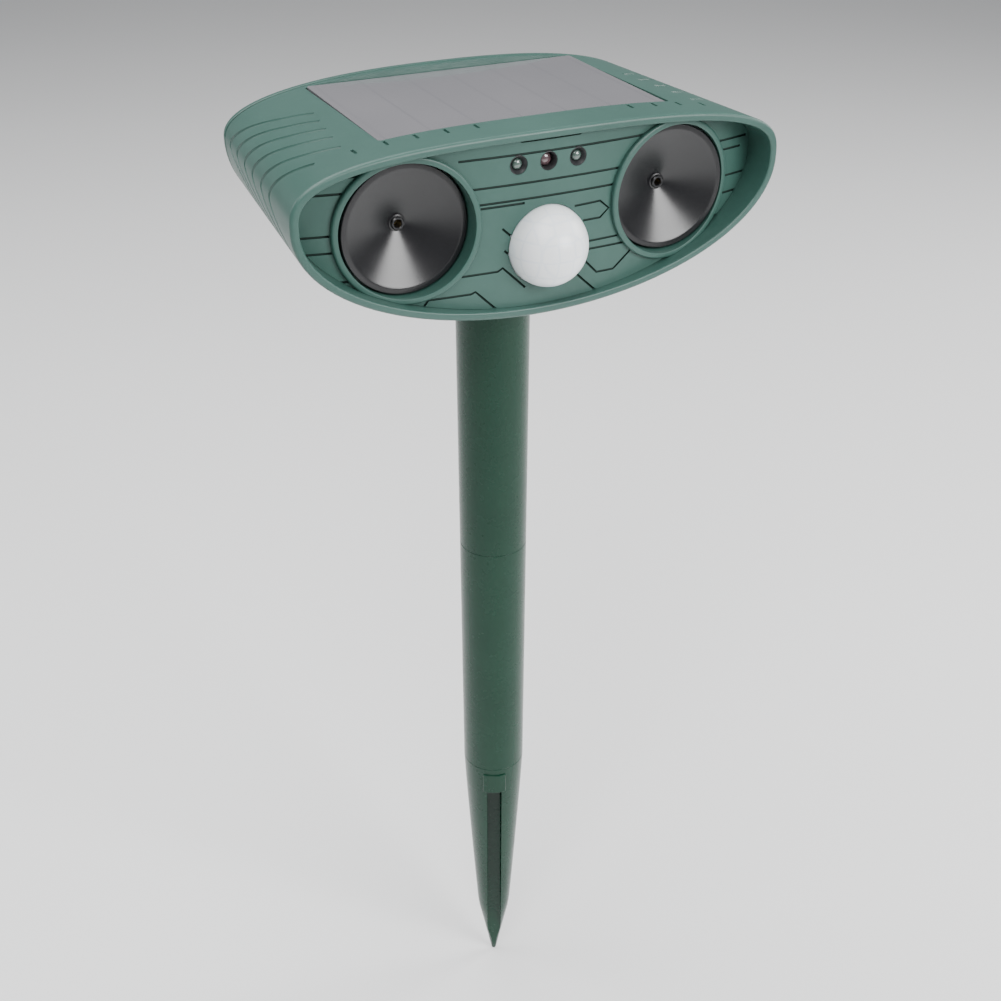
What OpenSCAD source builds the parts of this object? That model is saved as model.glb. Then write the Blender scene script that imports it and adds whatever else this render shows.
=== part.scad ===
// Solar ultrasonic pest repeller on a three-piece ground stake.
// Millimetres. Origin at the tip of the spike, on the stake's axis.
// +Z up, +X to the right and -Y to the front, where the horns point.

/* [Stake] */
// Height of the spike, from its tip to the first joint
spike_len = 109.4; // [90:0.2:140]
// Height of the sharp point at the bottom of the spike
point_len = 29; // [15:1:45]
// Radius of the spike where the sharp point begins
point_r = 6.2; // [4:0.1:8]
// Radius of the blunt tip
tip_r = 0.9; // [0.5:0.1:2]
// Visible height of each of the two tubes
tube_len = 95.7; // [60:0.1:140]
// Outer radius at the top of the upper tube
stake_r = 11.55; // [11:0.05:14]
// Radius that each tube loses on its way down
tube_draft = 0.28; // [0:0.02:0.4]
// Radius of the bore of the tubes
bore_r = 8.6; // [7:0.1:8.8]
// Length of each spigot, on the spike, the upper tube and the head
spigot_len = 18; // [12:1:24]
// Wall of the spigots
spigot_wall = 1.8; // [1.2:0.1:3]
// Radial clearance between a spigot and its socket
spigot_gap = 0.1; // [0.06:0.02:0.2]
// Width of the slot down the front and the back of the spike
slot_w = 5.4; // [2:0.2:6]
// Distance from the first joint down to the top of each slot
slot_drop = 11.2; // [8:0.1:30]
// Thickness of the web between the two slots
web_t = 4; // [3:0.5:6]
// Turn of the spike's slots away from the front
slot_turn = -23; // [-45:1:45]
// Size of the moulded lug at the top of each slot: width, height and rise
lug_size = [8.5, 8.6, 0.9];

/* [Head] */
// Width of the front rim
front_w = 145.6; // [140:0.2:180]
// Width of the rear end
rear_w = 135.6; // [130:0.2:170]
// Depth from the front rim to the rear face
head_depth = 78.4; // [76:0.2:100]
// Distance from the stake's axis to the front rim
front_overhang = 37.4; // [34:0.2:50]
// Height from the keel up to the solar panel
head_h = 50.4; // [50:0.2:70]
// Rise of the crown above the solar panel at the front and at the rear
crown_rise = [1.6, 1.9];
// Depth of the widest line below the solar panel at the front and at the rear
waist_drop = [16, 13.6];
// Squareness of the crown's curve at the front and at the rear
crown_power = [3.2, 2.4];
// Squareness of the keel's curve at the front and at the rear
keel_power = [2, 2.1];
// Wall of the housing
wall = 2.4; // [1.6:0.1:3.2]
// Height of the round pad that sits on the upper tube
pad_h = 2.4; // [0.4:0.1:4]
// How far that pad stands out past the tube
pad_lip = 0.9; // [0.4:0.1:3]

/* [Solar panel] */
// Width of the solar panel
solar_w = 86.4; // [70:0.2:90]
// Depth of the solar panel, front to back
solar_d = 59; // [50:0.5:62]
// Distance from the panel to the rear face of the head
solar_rear = 5.8; // [5:0.1:12]
// Thickness of the glass, the cells, the backing board and the foam under it
solar_layers = [1.2, 0.4, 1.2, 1];
// Number of cell strips
cell_count = 6; // [2:1:10]
// Gap between cell strips
cell_gap = 0.6; // [0.3:0.1:2]
// Margin of glass around the cells
cell_margin = 2.5; // [1:0.5:6]
// Gap around the panel in its pocket
solar_gap = 0.35; // [0.1:0.05:1]
// Wall and floor of the pocket
pocket_wall = 2; // [1.2:0.1:3]
// Width of the foam strip under the panel's edge
foam_w = 5; // [3:0.5:10]

/* [Front panel] */
// Radius of the front panel's sideways curve
front_curve_r = 300; // [250:10:600]
// Thickness of the front panel
front_t = 2.2; // [1.6:0.1:3]
// Depth of the front panel behind the rim, at the middle
front_recess = 2; // [1:0.1:4]
// Clearance between the front panel and the housing
front_gap = 0.15; // [0.1:0.05:0.4]
// Rise of the collars around the horns
collar_rise = 1.5; // [0.5:0.1:3]

/* [Horns] */
// Distance between the two horns' axes
horn_spacing = 80; // [76:0.5:100]
// Depth of the horns' axes below the solar panel
horn_drop = 21.7; // [21.6:0.1:30]
// Radius of the openings for the horns
opening_r = 18.4; // [16:0.1:18.8]
// Wall of the sleeve around each horn
sleeve_wall = 1.44; // [1:0.02:1.6]
// Depth of the horns' mouths behind the front rim
horn_setback = 5.9; // [5.5:0.1:8]
// Gap between a horn and its sleeve
horn_gap = 0.5; // [0.3:0.1:1]
// Width of the flat lip around a horn's mouth
horn_lip = 1.6; // [1:0.1:3]
// Depth of a horn's cone
cone_depth = 6; // [4:0.5:8]
// Height of a horn's outer skirt
skirt_h = 2.4; // [1.5:0.1:4]
// Thickness of the foam ring behind a horn
horn_foam_t = 0.8; // [0.5:0.1:2]
// Thickness of the ledge that a horn rests on
ledge_t = 1.8; // [1.2:0.1:3]
// Radius and depth of the piezo driver
driver_size = [15, 10];

/* [Sensor and lights] */
// Radius of the motion sensor's dome
dome_r = 11.4; // [9:0.1:12]
// Depth of the dome's centre below the solar panel
dome_drop = 31; // [29:0.5:33]
// Wall of the dome
dome_wall = 0.9; // [0.6:0.1:1.5]
// Distance between the lights
light_spacing = 8.86; // [8:0.1:12]
// Depth of the row of lights below the solar panel
light_drop = 7.5; // [6.5:0.1:9]
// Radius of the light holes
light_hole_r = 2.6; // [2.2:0.1:3.2]
// Radius of the flash lights and of the middle light
light_r = [1.5, 2];
// Distance from the front of the front panel to the sensor board
board_setback = 9; // [7:0.5:12]
// Thickness of the circuit boards
board_t = 1.6; // [1:0.2:2]

/* [Rear cover] */
// Thickness of the rear cover
cover_t = 2.6; // [2.2:0.1:4]
// Thickness of the seal between the cover and the housing
seal_t = 0.8; // [0.5:0.1:1.5]
// Size of the battery door, width and height
door_size = [58.4, 37.4];
// Thickness of the battery door
door_t = 2.2; // [1.6:0.1:3]
// Depth of the door's middle below the solar panel
door_drop = 25; // [24.6:0.2:28]
// Clearance around the door
door_gap = 0.2; // [0.1:0.05:0.5]
// Radius of the door's screw tab and its drop below the door's edge
door_tab = [3.2, 1.6];
// Radius and height of the mode knob
knob_size = [8, 5];
// Distance of the knob and of the charging port from the middle
side_offset = 46; // [43:0.5:50]
// Depth of the knob and of the port below the solar panel
side_drop = 24; // [22:0.5:27]
// Clearance of the knob's shaft in its bush, on the radius
shaft_gap = 0.06; // [0.04:0.01:0.1]
// Radius of the knob's shaft
shaft_r = 3; // [2:0.1:3.5]
// Radius of the hanging holes for a screw's head
hang_r = 3.8; // [3.5:0.1:4.2]
// Width of the slot above a hanging hole
hang_slot = 4.2; // [3.4:0.1:4.6]
// Rise of a hung screw in that slot
hang_rise = 3.2; // [2.5:0.1:4]
// Distance between the hanging holes
hang_spacing = 71; // [68:1:76]
// Depth of the hanging holes below the solar panel
hang_drop = 14.4; // [14.4:0.2:16]
// Room behind the cover for a hung screw's head, and the wall around that room
hang_pocket_size = [3.8, 0.45, 1];

/* [Batteries] */
// Radius and length of a cell
cell_size = [5.25, 44.5];
// Radius and height of a cell's positive cap
cap_size = [1.9, 0.9];
// Distance between the cells' axes
cell_pitch = 11.2; // [10.8:0.1:12]
// Room for a spring at one end of each cell
spring_room = 4.6; // [3:0.2:7]
// Wall of the battery tray
tray_wall = 1.4; // [1:0.1:2]

/* [Fasteners] */
// Radius of a screw's shank
screw_r = 1.25; // [1:0.05:1.5]
// Radius and height of a screw's head
head_size = [2.5, 1.6];
// Radius of the screw bosses
boss_r = 3.1; // [2.8:0.1:4]

/* [Hidden] */
$fn = 96;
// Length by which a cutter runs past a face
over = 1;
// Number of points on each half of the head's outline
half_points = 36;

green = [0.21, 0.40, 0.33];
dark_green = [0.12, 0.27, 0.20];
steel = [0.72, 0.73, 0.75];
black = [0.08, 0.08, 0.09];
board_green = [0.10, 0.34, 0.22];

// Stake heights and radii
low_joint_z = spike_len;
high_joint_z = spike_len + tube_len;
pad_z = spike_len + 2 * tube_len;
mid_r = stake_r - tube_draft;
low_r = stake_r - 2 * tube_draft;
spigot_r = bore_r - spigot_gap;
key_w = 2;
key_rise = 1.1;
key_gap = 0.15;
shoulder_t = 3;
slot_roof_t = 1.5;

// Head
keel_z = pad_z + pad_h;
solar_z = keel_z + head_h;
front_y = -front_overhang;
rear_y = front_y + head_depth;
inner_cover_y = rear_y - cover_t;
seal_y = inner_cover_y - seal_t;

// Solar panel and its pocket
solar_back_y = rear_y - solar_rear;
solar_front_y = solar_back_y - solar_d;
solar_stack = solar_layers[0] + solar_layers[1] + solar_layers[2] + solar_layers[3];
pocket_bottom_z = solar_z - solar_stack - pocket_wall;
pocket_front_y = solar_front_y - solar_gap - pocket_wall;

// Front panel: its outer surface is a cylinder about this upright axis
curve_y = front_y + front_recess + front_curve_r;
function front_surface(x) = curve_y - sqrt(front_curve_r * front_curve_r - x * x);
sensor_board_y = front_surface(0) + board_setback;

// Horns
horn_x = horn_spacing / 2;
horn_z = solar_z - horn_drop;
horn_y = front_y + horn_setback;
horn_r = opening_r - horn_gap;
mouth_r = horn_r - horn_lip;
throat_r = 1.8;
throat_hole_r = 1.1;
ring_rise = 0.8;
cone_wall = 1.3;
ledge_y = horn_y + skirt_h + horn_foam_t;
sleeve_end_y = ledge_y + ledge_t;
sleeve_r = opening_r + sleeve_wall;
ledge_hole_r = mouth_r - 0.2;
driver_y = horn_y + cone_depth + 2.4;

// Sensor and lights
dome_z = solar_z - dome_drop;
light_z = solar_z - light_drop;
dome_flange_r = dome_r + 1.8;
dome_flange_t = 1;

// Places of the screws that hold the front panel, as [x, depth below the solar panel]
panel_points = [[18, 8.8], [-18, 8.8], [17.5, 43], [-17.5, 43], [64.5, 17.5], [-64.5, 17.5]];
panel_boss_len = 4;
// Gap between a screw's shank and its pilot hole
thread_gap = 0.03;
// Place of the posts that hold the sensor board: distance from the middle, depth
board_post = [11, 14.5];
lug_plate_t = 2.4;
function lug_y(x) = front_surface(x) + front_t + panel_boss_len;

// Places of the screws that hold the rear cover
cover_points = [[54, 11], [-54, 11], [46, 37], [-46, 37]];
cover_post_len = 14;
post_web = 1.6;
screw_len = 9;

// Rear cover
door_w = door_size[0];
door_h = door_size[1];
door_z = solar_z - door_drop;
door_back_y = rear_y - door_t;
rebate_y = door_back_y - seal_t;
frame_t = 2;
frame_y = rebate_y - frame_t;
frame_rim = 1.6;
door_screw_z = door_z - door_h / 2 - door_tab[1];
door_screw_len = door_t + seal_t + 3.7;
door_boss_y = rear_y - door_screw_len - 0.8;
// Rim that locates the cover: its length, wall and clearance
rim_len = 3;
rim_t = 1.5;
rim_gap = 0.3;
knob_r = knob_size[0];
side_z = solar_z - side_drop;
socket_w = 9;
socket_h = 3.3;
socket_len = 7.3;
port_recess = [14, 8.4, 1.6];
plug_gap = 0.2;
bush_len = 6.5;
port_board_y = rear_y - port_recess[2] - socket_len - board_t;
port_post_z = 6.5;
port_post_r = 2.2;
switch_w = 12;

// Batteries
cell_r = cell_size[0];
cell_len = cell_size[1];
cell_gap_r = 0.35;
cell_y = rebate_y - 1.3 - cell_r;
contact_t = 0.4;
bay_w = cell_len + cap_size[1] + spring_room + 2 * contact_t + 0.4;
bay_h = 2 * cell_pitch + 2 * cell_r + 2 * cell_gap_r;
tray_front_y = cell_y - cell_r - cell_gap_r - tray_wall;
tray_half_w = bay_w / 2 + tray_wall;
tray_half_h = bay_h / 2 + tray_wall;
tray_ear_t = 2;
cap_end_x = bay_w / 2 - contact_t;
main_board_y = tray_front_y - 4.4 - board_t;
main_board_size = [84, 27];
board_points = [[22, 9], [-22, 9], [22, -9], [-22, -9]];
controller_size = [12, 1.6, 8];
driver_chip_size = [8, 1.5, 6];
header_size = [12, 4, 3];
transformer_size = [9, 6, 9];
capacitor_size = [3, 7];

// ---- Shapes that repeat ----

// Turns a solid that stands on +Z so that it points to the rear
module to_rear() rotate([-90, 0, 0]) children();

// A disc or ring whose axis runs front to back
module disc_y(r, y0, y1) translate([0, y0, 0]) to_rear() cylinder(h = y1 - y0, r = r);

module ring_y(r_out, r_in, y0, y1) difference() {
    disc_y(r_out, y0, y1);
    disc_y(r_in, y0 - over, y1 + over);
}

// A block given by its lowest and highest corners
module block(low, high) translate(low) cube(high - low);

// Signed power, used by the head's outline
function power(v, p) = sign(v) * pow(abs(v), p);
// Value between the front and the rear of the head, by how far back y is
function along_head(front, rear, y) = front + (rear - front) * (y - front_y) / head_depth;

// The head's cross-section at depth y, drawn inset from the outer skin
function head_outline(y, inset) =
    let (
        half_w = along_head(front_w, rear_w, y) / 2 - inset,
        waist = along_head(waist_drop[0], waist_drop[1], y),
        crown = waist + along_head(crown_rise[0], crown_rise[1], y) - inset,
        keel = head_h - waist - inset,
        crown_n = along_head(crown_power[0], crown_power[1], y),
        keel_n = along_head(keel_power[0], keel_power[1], y)
    )
    [for (i = [0:2 * half_points - 1])
        let (a = 180 * i / half_points, n = a < 180 ? crown_n : keel_n)
        [half_w * power(cos(a), 2 / n),
         solar_z - waist + (a < 180 ? crown : keel) * power(sin(a), 2 / n)]];

// The head as a solid between two depths, inset from the outer skin
module head_body(y0, y1, inset) intersection() {
    hull() for (y = [front_y - over, rear_y + over])
        translate([0, y, 0]) rotate([90, 0, 0])
            linear_extrude(0.02, center = true) polygon(head_outline(y, inset));
    block([-front_w, y0, keel_z - 5], [front_w, y1, solar_z + 10]);
}

module at_horn(side) translate([side * horn_x, 0, horn_z]) children();

// A pan-head screw whose shank points to the front, with its head's seat at y
module screw_to_front(y, length) {
    disc_y(screw_r, y - length, y + head_size[1] / 2);
    difference() {
        disc_y(head_size[0], y, y + head_size[1]);
        for (a = [0, 90]) rotate([0, a, 0])
            block([-head_size[0] * 0.6, y + head_size[1] / 2, -0.3],
                [head_size[0] * 0.6, y + head_size[1] + over, 0.3]);
    }
}

// The same screw with its shank pointing to the rear
module screw_to_rear(y, length) translate([0, 2 * y, 0]) mirror([0, 1, 0])
    screw_to_front(y, length);

// ---- Stake ----

// The spigot under a piece, with its key, hanging from height z
module spigot(z) {
    translate([0, 0, z - spigot_len]) cylinder(h = spigot_len + over, r = spigot_r);
    block([-key_w / 2, 0, z - spigot_len + 2], [key_w / 2, spigot_r + key_rise, z]);
}

// The socket in the top of a piece, with its keyway
module socket(z, depth) {
    translate([0, 0, z - depth]) cylinder(h = depth + over, r = bore_r);
    block([-key_w / 2 - key_gap, 0, z - spigot_len],
        [key_w / 2 + key_gap, bore_r + key_rise + key_gap, z + over]);
}

// The same turned over about height z: a spigot that stands up from a piece, or a socket from below
module turned_over(z) translate([0, 0, 2 * z]) mirror([0, 0, 1]) children();

// Radius of the spike above its point, at a share of the way up to the joint
function spike_r(share) = point_r + (low_r - point_r) * (1 - pow(1 - share, 1.12));

module ground_spike() color(dark_green) {
    taper = spike_len - point_len;
    slot_top = spike_len - slot_drop;
    difference() {
        union() {
            rotate_extrude() polygon(concat([[0, 0], [tip_r, 0]],
                [for (i = [0:8]) [spike_r(i / 8), point_len + taper * i / 8]], [[0, spike_len]]));
            turned_over(spike_len) spigot(spike_len);
        }
        translate([0, 0, slot_top + slot_roof_t])
            cylinder(h = slot_drop + spigot_len, r = spigot_r - spigot_wall);
        for (turn = [0, 180]) rotate([0, 0, slot_turn + turn])
            block([-slot_w / 2, -stake_r - over, 4], [slot_w / 2, -web_t / 2, slot_top]);
    }
    intersection() {
        difference() {
            cylinder(h = spike_len, r = spike_r((slot_top - point_len) / taper) + lug_size[2]);
            translate([0, 0, slot_top]) cylinder(h = lug_size[1] + over, r = spigot_r);
        }
        for (turn = [0, 180]) rotate([0, 0, slot_turn + turn])
            block([-lug_size[0] / 2, -stake_r - over, slot_top],
                [lug_size[0] / 2, -web_t / 2, slot_top + lug_size[1]]);
    }
}

// A tube with a socket in each end, one for the spike and one for the upper tube
module stake_tube_lower() color(dark_green) difference() {
    translate([0, 0, low_joint_z]) cylinder(h = tube_len, r1 = low_r, r2 = mid_r);
    socket(high_joint_z, tube_len / 2);
    turned_over(low_joint_z) socket(low_joint_z, tube_len / 2 + over);
}

// A tube with a spigot at its foot and a socket at its top
module stake_tube_upper() color(dark_green) difference() {
    union() {
        translate([0, 0, high_joint_z]) cylinder(h = tube_len, r1 = mid_r, r2 = stake_r);
        spigot(high_joint_z);
    }
    socket(high_joint_z + tube_len, tube_len - shoulder_t);
    translate([0, 0, high_joint_z - spigot_len - over])
        cylinder(h = spigot_len + tube_len, r = spigot_r - spigot_wall);
}

// ---- Head shells ----

module housing_shell() color(green) {
    pad_r = stake_r + pad_lip;
    floor_z = keel_z + wall + 3;
    difference() {
        union() {
            difference() {
                head_body(front_y, seal_y, 0);
                head_body(front_y - over / 2, seal_y + over / 2, wall);
            }
            intersection() {
                head_body(front_y, seal_y, wall / 2);
                union() {
                    solar_pocket_block();
                    panel_lugs();
                    cover_posts();
                    translate([0, 0, keel_z]) cylinder(h = floor_z - keel_z, r = pad_r);
                }
            }
            translate([0, 0, pad_z]) cylinder(h = pad_h + wall / 2, r = pad_r);
            spigot(pad_z);
        }
        solar_pocket();
        translate([0, 0, pad_z - spigot_len - over])
            cylinder(h = 2 * spigot_len, r = spigot_r - spigot_wall);
        for (p = panel_points) translate([p[0], 0, solar_z - p[1]])
            disc_y(screw_r + 0.3, lug_y(p[0]) - over, lug_y(p[0]) + lug_plate_t + over);
        for (p = cover_points) translate([p[0], 0, solar_z - p[1]])
            disc_y(screw_r + thread_gap, seal_y - cover_post_len + 3, seal_y + over);
    }
}

// The tray under the solar panel, before the pocket is cut
module solar_pocket_block() {
    half_w = solar_w / 2 + solar_gap + pocket_wall;
    block([-half_w, pocket_front_y, pocket_bottom_z],
        [half_w, min(solar_back_y + solar_gap + pocket_wall, seal_y), solar_z + 2 * wall]);
}

// The pocket itself and the hole for the panel's wires
module solar_pocket() {
    half_w = solar_w / 2 + solar_gap;
    block([-half_w, solar_front_y - solar_gap, solar_z - solar_stack],
        [half_w, solar_back_y + solar_gap, solar_z + 10]);
    translate([0, solar_back_y - solar_d / 2, pocket_bottom_z - over])
        cylinder(h = pocket_wall + 2 * over, r = 3);
}

// Plates inside the housing that the front panel is screwed to
module panel_lugs() {
    for (p = panel_points) {
        y = lug_y(p[0]);
        z = solar_z - p[1];
        out = abs(p[0]) > sleeve_r + horn_x - 4;
        up = p[1] < head_h / 2;
        reach = 30;
        low = out ? [min(p[0], sign(p[0]) * reach * 3), y, z - boss_r]
            : [p[0] - boss_r, y, up ? z - boss_r : z - reach];
        high = out ? [max(p[0], sign(p[0]) * reach * 3), y + lug_plate_t, z + boss_r]
            : [p[0] + boss_r, y + lug_plate_t, up ? z + reach : z + boss_r];
        block(low, high);
        translate([p[0], 0, z]) disc_y(boss_r, y, y + lug_plate_t);
    }
}

// Posts inside the housing that the rear cover is screwed to
module cover_posts() {
    post_y = seal_y - cover_post_len;
    for (p = cover_points) {
        z = solar_z - p[1];
        translate([p[0], 0, z]) disc_y(boss_r, post_y, seal_y);
        block([min(p[0], sign(p[0]) * rear_w), post_y, z - post_web / 2],
            [max(p[0], sign(p[0]) * rear_w), seal_y, z + post_web / 2]);
    }
}

// The curved skin of the front panel between two radii of its curve
module front_skin(r_out, r_in) {
    low = keel_z - over;
    high = solar_z + 10;
    translate([0, curve_y, low]) difference() {
        cylinder(h = high - low, r = r_out, $fn = 720);
        translate([0, 0, -over]) cylinder(h = high - low + 2 * over, r = r_in, $fn = 720);
    }
}

module front_panel() color(green) difference() {
    intersection() {
        head_body(front_y, sleeve_end_y + 6, wall + front_gap);
        union() {
            intersection() {
                front_skin(front_curve_r, front_curve_r - front_t);
                block([-front_w, front_y, keel_z - 5], [front_w, sleeve_end_y, solar_z + 9]);
            }
            for (side = [-1, 1]) at_horn(side) disc_y(sleeve_r, front_y, sleeve_end_y);
            for (p = panel_points) translate([p[0], 0, solar_z - p[1]])
                disc_y(boss_r, front_surface(p[0]) + front_t / 2, lug_y(p[0]));
            for (side = [-1, 1]) translate([side * board_post[0], 0, solar_z - board_post[1]])
                disc_y(boss_r - 0.7, front_surface(0) + front_t / 2, sensor_board_y);
        }
    }
    // Everything in front of the collars' curved face
    collar_front();
    for (side = [-1, 1]) at_horn(side) {
        disc_y(opening_r, front_y - over, ledge_y);
        disc_y(ledge_hole_r, front_y - over, sleeve_end_y + over);
    }
    translate([0, 0, dome_z]) {
        disc_y(dome_r + 0.2, front_y - over, front_surface(0) + front_t + 2);
        disc_y(dome_flange_r + 0.2, front_surface(0) + front_t - dome_flange_t,
            front_surface(0) + front_t + 2);
    }
    for (i = [-1, 0, 1]) translate([i * light_spacing, 0, light_z])
        disc_y(light_hole_r, front_y - over, front_surface(0) + front_t + 2);
    for (p = panel_points) translate([p[0], 0, solar_z - p[1]])
        disc_y(screw_r + thread_gap, lug_y(p[0]) - panel_boss_len - 0.6, lug_y(p[0]) + over);
    for (side = [-1, 1]) translate([side * board_post[0], 0, solar_z - board_post[1]])
        disc_y(screw_r + thread_gap, sensor_board_y - 4, sensor_board_y + over);
}

// What is cut away in front of the front panel's collars
module collar_front() difference() {
    block([-front_w, front_y - 5, keel_z - 5], [front_w, sleeve_end_y, solar_z + 12]);
    translate([0, curve_y, keel_z - 10])
        cylinder(h = head_h + 30, r = front_curve_r + collar_rise, $fn = 720);
}

module rear_cover() color(green) difference() {
    union() {
        head_body(inner_cover_y, rear_y, 0);
        // Rim that locates the cover inside the housing
        difference() {
            head_body(seal_y - rim_len, inner_cover_y + 0.5, wall + rim_gap);
            head_body(seal_y - rim_len - over, inner_cover_y + over, wall + rim_gap + rim_t);
            block([-tray_half_w - rim_gap, 0, door_z - tray_half_h - rim_gap],
                [tray_half_w + rim_gap, frame_y, door_z]);
            block([-solar_w, 0, pocket_bottom_z - rim_gap], [solar_w, rear_y, solar_z + 9]);
            for (p = cover_points) translate([p[0], 0, solar_z - p[1]]) {
                disc_y(boss_r + rim_gap, seal_y - rim_len - over, inner_cover_y);
                block([min(0, sign(p[0]) * rear_w), seal_y - rim_len - over, -post_web / 2 - rim_gap],
                    [max(0, sign(p[0]) * rear_w), inner_cover_y, post_web / 2 + rim_gap]);
            }
        }
        // Frame around the battery opening
        intersection() {
            head_body(door_boss_y, inner_cover_y + 0.5, wall + rim_gap);
            union() {
                block([-door_w / 2 - frame_rim, frame_y, door_z - door_h / 2 - frame_rim],
                    [door_w / 2 + frame_rim, rear_y, pocket_bottom_z - rim_gap]);
                translate([0, 0, door_screw_z]) intersection() {
                    disc_y(door_tab[0] + frame_rim, door_boss_y, inner_cover_y + 0.5);
                    block([-door_w, door_boss_y, -door_w],
                        [door_w, rear_y, door_z - tray_half_h - 0.2 - door_screw_z]);
                }
            }
        }
        for (side = [-1, 1]) hang_pocket(side);
        for (p = tray_points()) translate([p[0], 0, p[1]])
            disc_y(boss_r, frame_y, inner_cover_y + 0.5);
        translate([-side_offset, 0, side_z]) for (side = [-1, 1])
            translate([0, 0, side * port_post_z]) {
                disc_y(port_post_r, port_board_y + board_t, inner_cover_y + 0.5);
                disc_y(1, port_board_y - 0.8, inner_cover_y);
            }
    }
    block([-bay_w / 2, frame_y - over, door_z - bay_h / 2],
        [bay_w / 2, rear_y + over, door_z + bay_h / 2]);
    door_shape(rebate_y, rear_y + over, door_gap);
    translate([0, 0, door_screw_z]) disc_y(screw_r + thread_gap, door_boss_y - over, rear_y);
    for (p = cover_points) translate([p[0], 0, solar_z - p[1]])
        disc_y(screw_r + 0.2, seal_y - over, rear_y + over);
    for (side = [-1, 1]) hang_cut(side);
    translate([side_offset, 0, side_z]) disc_y(shaft_r + 0.5, seal_y - over, rear_y + over);
    translate([-side_offset, 0, side_z]) port_cut();
    // Pilot holes for the tray's screws
    for (p = tray_points()) translate([p[0], 0, p[1]])
        disc_y(screw_r + thread_gap, frame_y - over, rear_y - 1);
}

// A hanging hole's outline, drawn out upwards by the screw's rise
module hang_shape(r, y0, y1) {
    for (z = [0, hang_rise]) translate([0, 0, z]) disc_y(r, y0, y1);
    block([-r, y0, 0], [r, y1, hang_rise]);
}

// Closed pocket behind a hanging hole, so that rain stays out
module hang_pocket(side) intersection() {
    translate([side * hang_spacing / 2, 0, solar_z - hang_drop])
        hang_shape(hang_r + hang_pocket_size[1] + hang_pocket_size[2],
            inner_cover_y - hang_pocket_size[0] - hang_pocket_size[2], inner_cover_y + 0.5);
    block([-rear_w, 0, keel_z], [rear_w, rear_y, pocket_bottom_z - rim_gap]);
}

module hang_cut(side) translate([side * hang_spacing / 2, 0, solar_z - hang_drop]) {
    hang_shape(hang_r + hang_pocket_size[1], inner_cover_y - hang_pocket_size[0], inner_cover_y);
    disc_y(hang_r, inner_cover_y - over, rear_y + over);
    hang_shape(hang_slot / 2, inner_cover_y - over, rear_y + over);
}

// The opening for the charging socket and the recess for its plug
module port_cut() {
    block([-socket_w / 2 - 0.15, seal_y - over, -socket_h / 2 - 0.15],
        [socket_w / 2 + 0.15, rear_y + over, socket_h / 2 + 0.15]);
    block([-port_recess[0] / 2, rear_y - port_recess[2], -port_recess[1] / 2],
        [port_recess[0] / 2, rear_y + over, port_recess[1] / 2]);
}

module rear_seal() color(black) difference() {
    head_body(seal_y, inner_cover_y, 0.5);
    head_body(seal_y - over, inner_cover_y + over, wall - 0.4);
}

// ---- Solar panel ----

module solar_layer(top, thickness, margin) {
    block([-solar_w / 2 + margin, solar_front_y + margin, solar_z - top - thickness],
        [solar_w / 2 - margin, solar_back_y - margin, solar_z - top]);
}

module solar_glass() color([0.45, 0.43, 0.50]) solar_layer(0, solar_layers[0], 0);

module solar_cells() color([0.12, 0.12, 0.22]) {
    strip_w = (solar_w - 2 * cell_margin - (cell_count - 1) * cell_gap) / cell_count;
    for (i = [0:cell_count - 1]) {
        x = -solar_w / 2 + cell_margin + i * (strip_w + cell_gap);
        z = solar_z - solar_layers[0];
        block([x, solar_front_y + cell_margin, z - solar_layers[1]],
            [x + strip_w, solar_back_y - cell_margin, z]);
    }
}

module solar_backing_board() color([0.85, 0.86, 0.84])
    solar_layer(solar_layers[0] + solar_layers[1], solar_layers[2], 0);

module solar_foam() color(black) difference() {
    top = solar_stack - solar_layers[3];
    solar_layer(top, solar_layers[3], 0.5);
    solar_layer(top - over, solar_layers[3] + 2 * over, 0.5 + foam_w);
}

// ---- Horns ----

module horn(side) color(steel) at_horn(side) translate([0, horn_y, 0]) to_rear()
    rotate_extrude() polygon([
        [horn_r, 0], [horn_r, skirt_h], [mouth_r, skirt_h], [mouth_r - 0.6, cone_wall + 0.6],
        [throat_r + cone_wall, cone_depth + 0.8], [throat_r + cone_wall, driver_y - horn_y],
        [throat_hole_r, driver_y - horn_y], [throat_hole_r, cone_depth - ring_rise],
        [throat_r, cone_depth - ring_rise], [throat_r, cone_depth], [mouth_r, 0]]);

module horn_left() horn(-1);
module horn_right() horn(1);

module horn_foam(side) color(black) at_horn(side)
    ring_y(horn_r, ledge_hole_r, horn_y + skirt_h, ledge_y);

module horn_foam_left() horn_foam(-1);
module horn_foam_right() horn_foam(1);

// Flat piezo driver with a brass face plate and two terminals
module piezo_driver(side) color([0.75, 0.62, 0.30]) at_horn(side) {
    disc_y(driver_size[0], driver_y, driver_y + 1);
    disc_y(driver_size[0] - 1, driver_y + 1, driver_y + driver_size[1]);
    for (s = [-1, 1]) translate([s * 4, 0, 0])
        block([-1, driver_y + driver_size[1], -0.4], [1, driver_y + driver_size[1] + 3, 0.4]);
}

module piezo_driver_left() piezo_driver(-1);
module piezo_driver_right() piezo_driver(1);

// ---- Motion sensor and lights ----

module sensor_dome() color([0.90, 0.94, 0.98]) translate([0, 0, dome_z]) {
    base_y = front_surface(0) + front_t - dome_flange_t;
    flange_end_y = front_surface(0) + front_t;
    difference() {
        union() {
            intersection() {
                translate([0, front_surface(0), 0]) sphere(r = dome_r);
                block([-20, front_surface(0) - 20, -20], [20, front_surface(0) + 0.02, 20]);
            }
            disc_y(dome_r, front_surface(0), flange_end_y);
            disc_y(dome_flange_r, base_y, flange_end_y);
        }
        translate([0, front_surface(0), 0]) sphere(r = dome_r - dome_wall);
        disc_y(dome_r - dome_wall, front_surface(0), flange_end_y + over);
    }
}

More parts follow.
